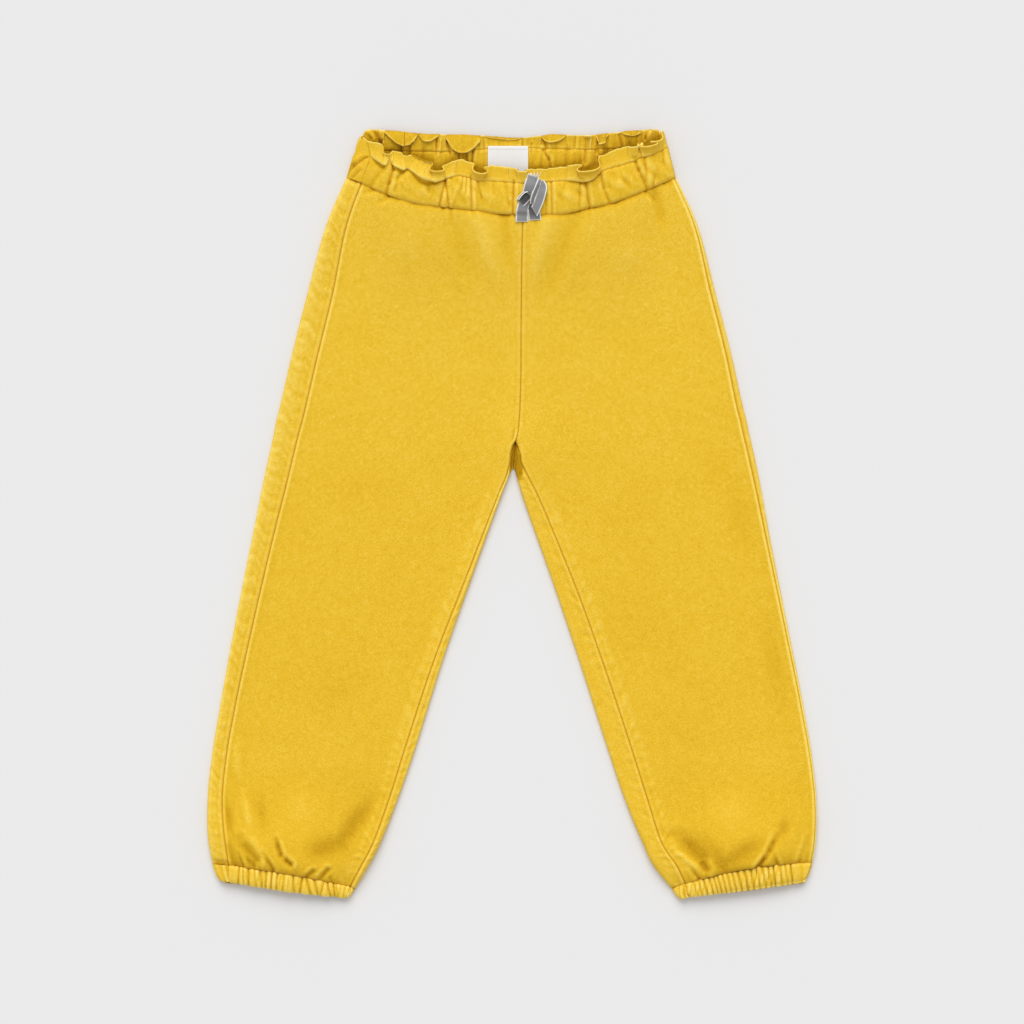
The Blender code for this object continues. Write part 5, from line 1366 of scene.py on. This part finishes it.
# Centre line, width, height above what it lies on, roll about its length in degrees, slant of
# a cut and how deep in shade the strip is.
STRIP_COLUMNS = "x y width lift roll slant shade"
BOW_STRIPS = {
    "left_tail": table(STRIP_COLUMNS,
        (10.4, 232.6, 8.2, 0.6, 0, 0, 0.5), (8.8, 229, 8.8, 0.7, 0, 0, 0.1),
        (8, 224.8, 9.2, 0.7, 0, 0, 0), (7.8, 221.2, 9.3, 0.7, 4, 0, 0),
        (7.8, 217.9, 9.3, 0.9, 6, 0, 0)),
    "under_tail": table(STRIP_COLUMNS,
        (14.4, 231.4, 8, 0.3, 0, 0, 0.9), (16.6, 226.4, 8.8, 0.3, 0, 0, 0.6),
        (17.4, 221.6, 9.2, 0.4, -4, 0, 0.25), (17.6, 219.2, 9.2, 0.5, -6, 0, 0.1)),
    "right_tail": table(STRIP_COLUMNS,
        (22.4, 248.2, 4.6, 1.4, -30, 0, 0.1), (23.3, 243.6, 6.6, 1.6, -16, 0, 0),
        (22.1, 238.2, 7, 1.8, -8, 0, 0), (19.9, 231.6, 7.1, 1.7, -4, 0, 0),
        (17, 225.2, 7, 1.3, 0, -2.4, 0)),
    "loop_inside": table(STRIP_COLUMNS,
        (6.2, 231.6, 7.6, 1, 0, 0, 0.55), (8.2, 233.6, 7.8, 1.5, 0, 0, 0.75),
        (10.4, 235.8, 7.8, 1.7, 0, 0, 0.8), (13, 238.4, 7.6, 1.6, 0, 0, 0.9)),
    "standing_edge": table(STRIP_COLUMNS,
        (21.4, 249.4, 3.6, 2.2, 30, 0, 0), (19.5, 244.2, 5.4, 3.3, 54, 0, 0),
        (17.6, 239.4, 6, 3.7, 57, 0, 0), (15.9, 235, 5.6, 3.5, 55, 0, 0),
        (15.2, 230.8, 3.8, 2.5, 40, 0, 0.2)),
    "upper_strand": table(STRIP_COLUMNS,
        (16.2, 252.2, 9.2, 1.2, 0, 0, 0), (15.2, 248.6, 9.2, 1.9, 0, 0, 0),
        (13.8, 244.4, 8.8, 2.6, -4, 0, 0.1), (12.4, 240.8, 7.8, 2.7, -8, 0, 0.3),
        (11.6, 239, 7, 2.1, -8, 0, 0.5)),
    "loop_turn": table(STRIP_COLUMNS,
        (12.8, 241, 3.2, 2, -30, 0, 0), (9.6, 239.6, 3, 3, -50, 0, 0),
        (6.6, 236.6, 2.8, 2.8, -50, 0, 0), (4.9, 234.2, 2, 1.8, -30, 0, 0)),
}


def front_top(x, y):
    """Top of the garment's front near the bow: the casing and frill above the waist seam, the
    panels below it, but no higher there than the casing at its seam."""
    above = y - height_of(WAIST_SEAM, x)
    row = np.clip(above / BOW_CASING_HEIGHT, 0, 1)
    casing = waist_lift(x) + casing_puff(row) + CASING_HALF
    panel = upper_cloth(LEFT_LEG, x, y) + TWILL_WALL / 2
    return np.where(above > 0, casing, np.minimum(panel, casing))


def bow_strip(tab, count=44, across=17):
    """Points of one strip: its line is a smooth curve through the table's points; in section
    it is a shallow arc across the width, rolled about the line and sprung by its lift."""
    knots = np.arange(len(tab["x"]))
    at = np.linspace(0, knots[-1], count)
    line = {name: flow(knots, tab[name], at) for name in tab}
    plan = np.stack([line["x"], line["y"]], axis=-1)
    way = np.gradient(plan, axis=0)
    way /= np.linalg.norm(way, axis=-1, keepdims=True)
    side = np.stack([way[:, 1], -way[:, 0]], axis=-1)
    s = np.linspace(-1, 1, across)[None]
    half = line["width"][:, None] / 2
    roll = np.radians(line["roll"])[:, None]
    out, rise = half * s * np.cos(roll), half * s * np.sin(roll)
    place = plan[:, None] + side[:, None] * out[..., None]
    place = place + way[:, None] * (line["slant"][:, None] * s)[..., None]
    rest = front_top(place[..., 0], place[..., 1])
    even = np.convolve(np.pad(rest.max(axis=1), 5, mode="edge"), np.full(11, 1 / 11), "valid")
    base = 0.75 * even[:, None] + 0.25 * rest
    base = np.maximum(base, rest + 0.1)
    arc = 0.16 * half * (1 - s**2) + 0.10 * np.sin(at * 4.3)[:, None]
    z = base + line["lift"][:, None] + rise + arc + RIBBON_HALF
    run = run_along(plan)
    cut = bump(np.minimum(run, run[-1] - run), 0.45)[:, None] * np.ones_like(s)
    pale = np.clip(np.maximum(1.5 * bump((1 - np.abs(s)) * half, 0.66), 0.6 * cut), 0, 1)
    pale = pale - line["shade"][:, None] * (1 - pale)
    return raised(place, z), places(half * s, run[:, None]), pale


def frayed_threads(count=26, steps=7):
    """Loose warp threads of the frayed top end: short arcs that fan out from the cut, each a
    strip 0.35 mm wide."""
    k = np.arange(count)
    t = np.linspace(0, 1, steps)[None]
    fan = (k / (count - 1) - 0.5)[:, None]
    wander = np.sin(7.3 * k + 1.1)[:, None]
    length = (3.2 + 1.8 * np.sin(5.1 * k + 0.4))[:, None]
    x = 16.0 + 9.4 * fan + 2.4 * fan * t + 0.9 * wander * t**2
    y = 251.6 + length * t * (1 - 0.15 * t) * np.where(k % 5 == 2, -1, 1)[:, None]
    z = front_top(x, y) + 1.5 + 1.1 * np.sin(pi * t) * (0.6 + 0.4 * wander) - 0.7 * t
    middle = np.stack([x, y, z], axis=-1)[:, :, None]
    offset = np.array([[-0.17, 0.05, 0], [0.17, -0.05, 0]])[None, None]
    return middle + offset


def ribbon_bow():
    """All strips of the bow and the frayed threads as one piece."""
    grids = [(*bow_strip(strip), RIBBON_HALF) for strip in BOW_STRIPS.values()]
    grids += [(thread, thread[..., :2].reshape(-1, 2), np.ones(thread.shape[:2]), FRAY_HALF)
              for thread in frayed_threads()]
    faces, start = [], 0
    for points, _, _, _ in grids:
        faces.append(grid_faces(numbered(points, start)))
        start += points.shape[0] * points.shape[1]
    pale = np.concatenate([shade.ravel() for _, _, shade, _ in grids])
    half = np.concatenate([np.full(shade.size, wall) for _, _, shade, wall in grids])
    bow = cloth_shell("bow", np.concatenate([points.reshape(-1, 3) for points, _, _, _ in grids]),
                      np.concatenate(faces), np.concatenate([flat for _, flat, _, _ in grids]),
                      half, woven_tape("grey_grosgrain", RIBBON_GREY, 400.0, 0.62, 0.00012),
                      BOW_FACES_UP)
    edge_paleness(bow, pale)
    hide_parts("bow_knot", "bow_loop", "bow_tail_left", "bow_tail_right")


ribbon_bow()

# ---- stitching ----------------------------------------------------------------------------------
# Lockstitches in matching thread hold each casing along its stitch line, and white ones the
# label's top edge: each stitch is a short arched thread that dips into the cloth at its ends.
STITCH_PITCH = 2.6
STITCH_LENGTH = 1.9
THREAD_RADIUS = 0.24
THREAD_SUNK = 0.1           # how deep a thread beds into the cloth
LABEL_STITCH_ROW = 4


def thread_look(name, dark, light):
    """Twisted sewing thread: two plies as a wave along the stitch, slightly glossy."""
    look = Look(name)
    place = look.node("TexCoord").outputs["Object"]
    twist = look.node("TexWave", {"Scale": 900.0, "Distortion": 0.6, "Vector": place},
                      bands_direction="DIAGONAL")
    ply = look.node("ValToRGB", {"Fac": twist.outputs["Fac"]})
    for end, colour in zip(ply.color_ramp.elements, (dark, light)):
        end.color = colour
    look.feed(look.shader, {"Base Color": ply.outputs["Color"], "Roughness": 0.6,
                            "Specular IOR Level": 0.3})
    return look.material


def stitch_row(name, line, look, pitch=STITCH_PITCH, length=STITCH_LENGTH):
    """Stitches along a line of points: thread cross sections (six-sided rings) carried along
    each stitch's arch, whose ends sink by a thread's width."""
    run = run_along(line)
    starts = np.arange(pitch / 2, run[-1] - pitch, pitch)
    t = np.linspace(0, 1, 5)
    at = starts[:, None] + length * t + 0.12 * np.sin(3.7 * starts)[:, None]
    centre = np.stack([np.interp(at, run, line[:, k]) for k in range(3)], axis=-1)
    centre[..., 2] += 1.4 * THREAD_RADIUS * (np.sin(pi * t) ** 0.5 - 0.75)
    way = centre[:, -1] - centre[:, 0]
    side = np.stack([-way[:, 1], way[:, 0]], axis=-1)
    side /= np.maximum(np.linalg.norm(side, axis=-1, keepdims=True), 1e-9)
    turn = 2 * pi * np.arange(6) / 6
    wide = THREAD_RADIUS * np.where((t == 0) | (t == 1), 0.35, 1.0)
    ring = centre[:, :, None, :] + 0 * turn[None, None, :, None]
    ring[..., :2] += side[:, None, None] * (wide[:, None] * np.cos(turn))[None, ..., None]
    ring[..., 2] += wide[None, :, None] * np.sin(turn)[None, None]
    count = len(starts)
    index = np.arange(count * 30).reshape(count, 5, 6)
    after = np.roll(index, -1, axis=2)
    walls = np.stack([index[:, :-1], after[:, :-1], after[:, 1:], index[:, 1:]], axis=-1)
    ends = [index[:, 0, ::-1], index[:, -1]]
    mesh = bpy.data.meshes.new(name)
    mesh.from_pydata(ring.reshape(-1, 3) * MM, [],
                     walls.reshape(-1, 4).tolist() + ends[0].tolist() + ends[1].tolist())
    return put_piece(name, mesh, look)


mustard_thread = thread_look("mustard_thread", (0.52, 0.27, 0.012, 1), (0.80, 0.50, 0.05, 1))
white_thread = thread_look("white_thread", (0.70, 0.70, 0.69, 1), (0.90, 0.90, 0.89, 1))
for name, points in (("front_waist_stitches", front_points), ("back_waist_stitches", back_points)):
    line = points[len(CASING_ROWS), 6:-6].copy()
    line[:, 2] += CASING_HALF - THREAD_SUNK
    stitch_row(name, line, mustard_thread)
line = label_points[LABEL_STITCH_ROW, 2:-2].copy()
line[:, 2] += LABEL_HALF
stitch_row("label_stitches", line, white_thread, 2.0, 1.4)

# ---- the surface, the light and the camera ------------------------------------------------------
# The garment lies on a pale seamless surface in a white room, with a broad soft light from
# beyond the waist, and is seen from straight above.
SURFACE_GREY = (0.7715, 0.7685, 0.7705, 1.0)
SUN_STRENGTH = 1.9
SUN_SPREAD = 0.75
SUN_FROM = (-0.10, 0.95, 0.85)
ROOM_STRENGTH = 0.67
CAMERA_HEIGHT = 2.2
FRAME_WIDTH = 0.768
FRAME_CENTRE = (0.0004, 0.0015)

surface_mesh = bpy.data.meshes.new("studio_surface")
surface_mesh.from_pydata([(-3, -3, 0), (3, -3, 0), (3, 3, 0), (-3, 3, 0)], [], [(0, 1, 2, 3)])
surface = bpy.data.objects.new("studio_surface", surface_mesh)
bpy.context.collection.objects.link(surface)
paper = Look("pale_paper")
paper.feed(paper.shader, {"Base Color": SURFACE_GREY, "Roughness": 0.95,
                          "Specular IOR Level": 0.1})
surface_mesh.materials.append(paper.material)

far_light = bpy.data.lights.new("waist_side_light", "SUN")
far_light.energy = SUN_STRENGTH
far_light.angle = SUN_SPREAD
far_holder = bpy.data.objects.new("waist_side_light", far_light)
far_holder.rotation_mode = "QUATERNION"
far_holder.rotation_quaternion = mathutils.Vector(SUN_FROM).to_track_quat("Z", "Y")
bpy.context.collection.objects.link(far_holder)
room = bpy.data.worlds.new("studio_room")
room.use_nodes = True
room.node_tree.nodes["Background"].inputs["Color"].default_value = (1.0, 1.0, 1.0, 1.0)
room.node_tree.nodes["Background"].inputs["Strength"].default_value = ROOM_STRENGTH
bpy.context.scene.world = room
bpy.context.scene.view_settings.view_transform = "Standard"

viewer = bpy.data.cameras.new("overhead_camera")
viewer.lens = viewer.sensor_width * CAMERA_HEIGHT / FRAME_WIDTH
camera = bpy.data.objects.new("overhead_camera", viewer)
camera.location = (*FRAME_CENTRE, CAMERA_HEIGHT)
bpy.context.collection.objects.link(camera)
bpy.context.scene.camera = camera
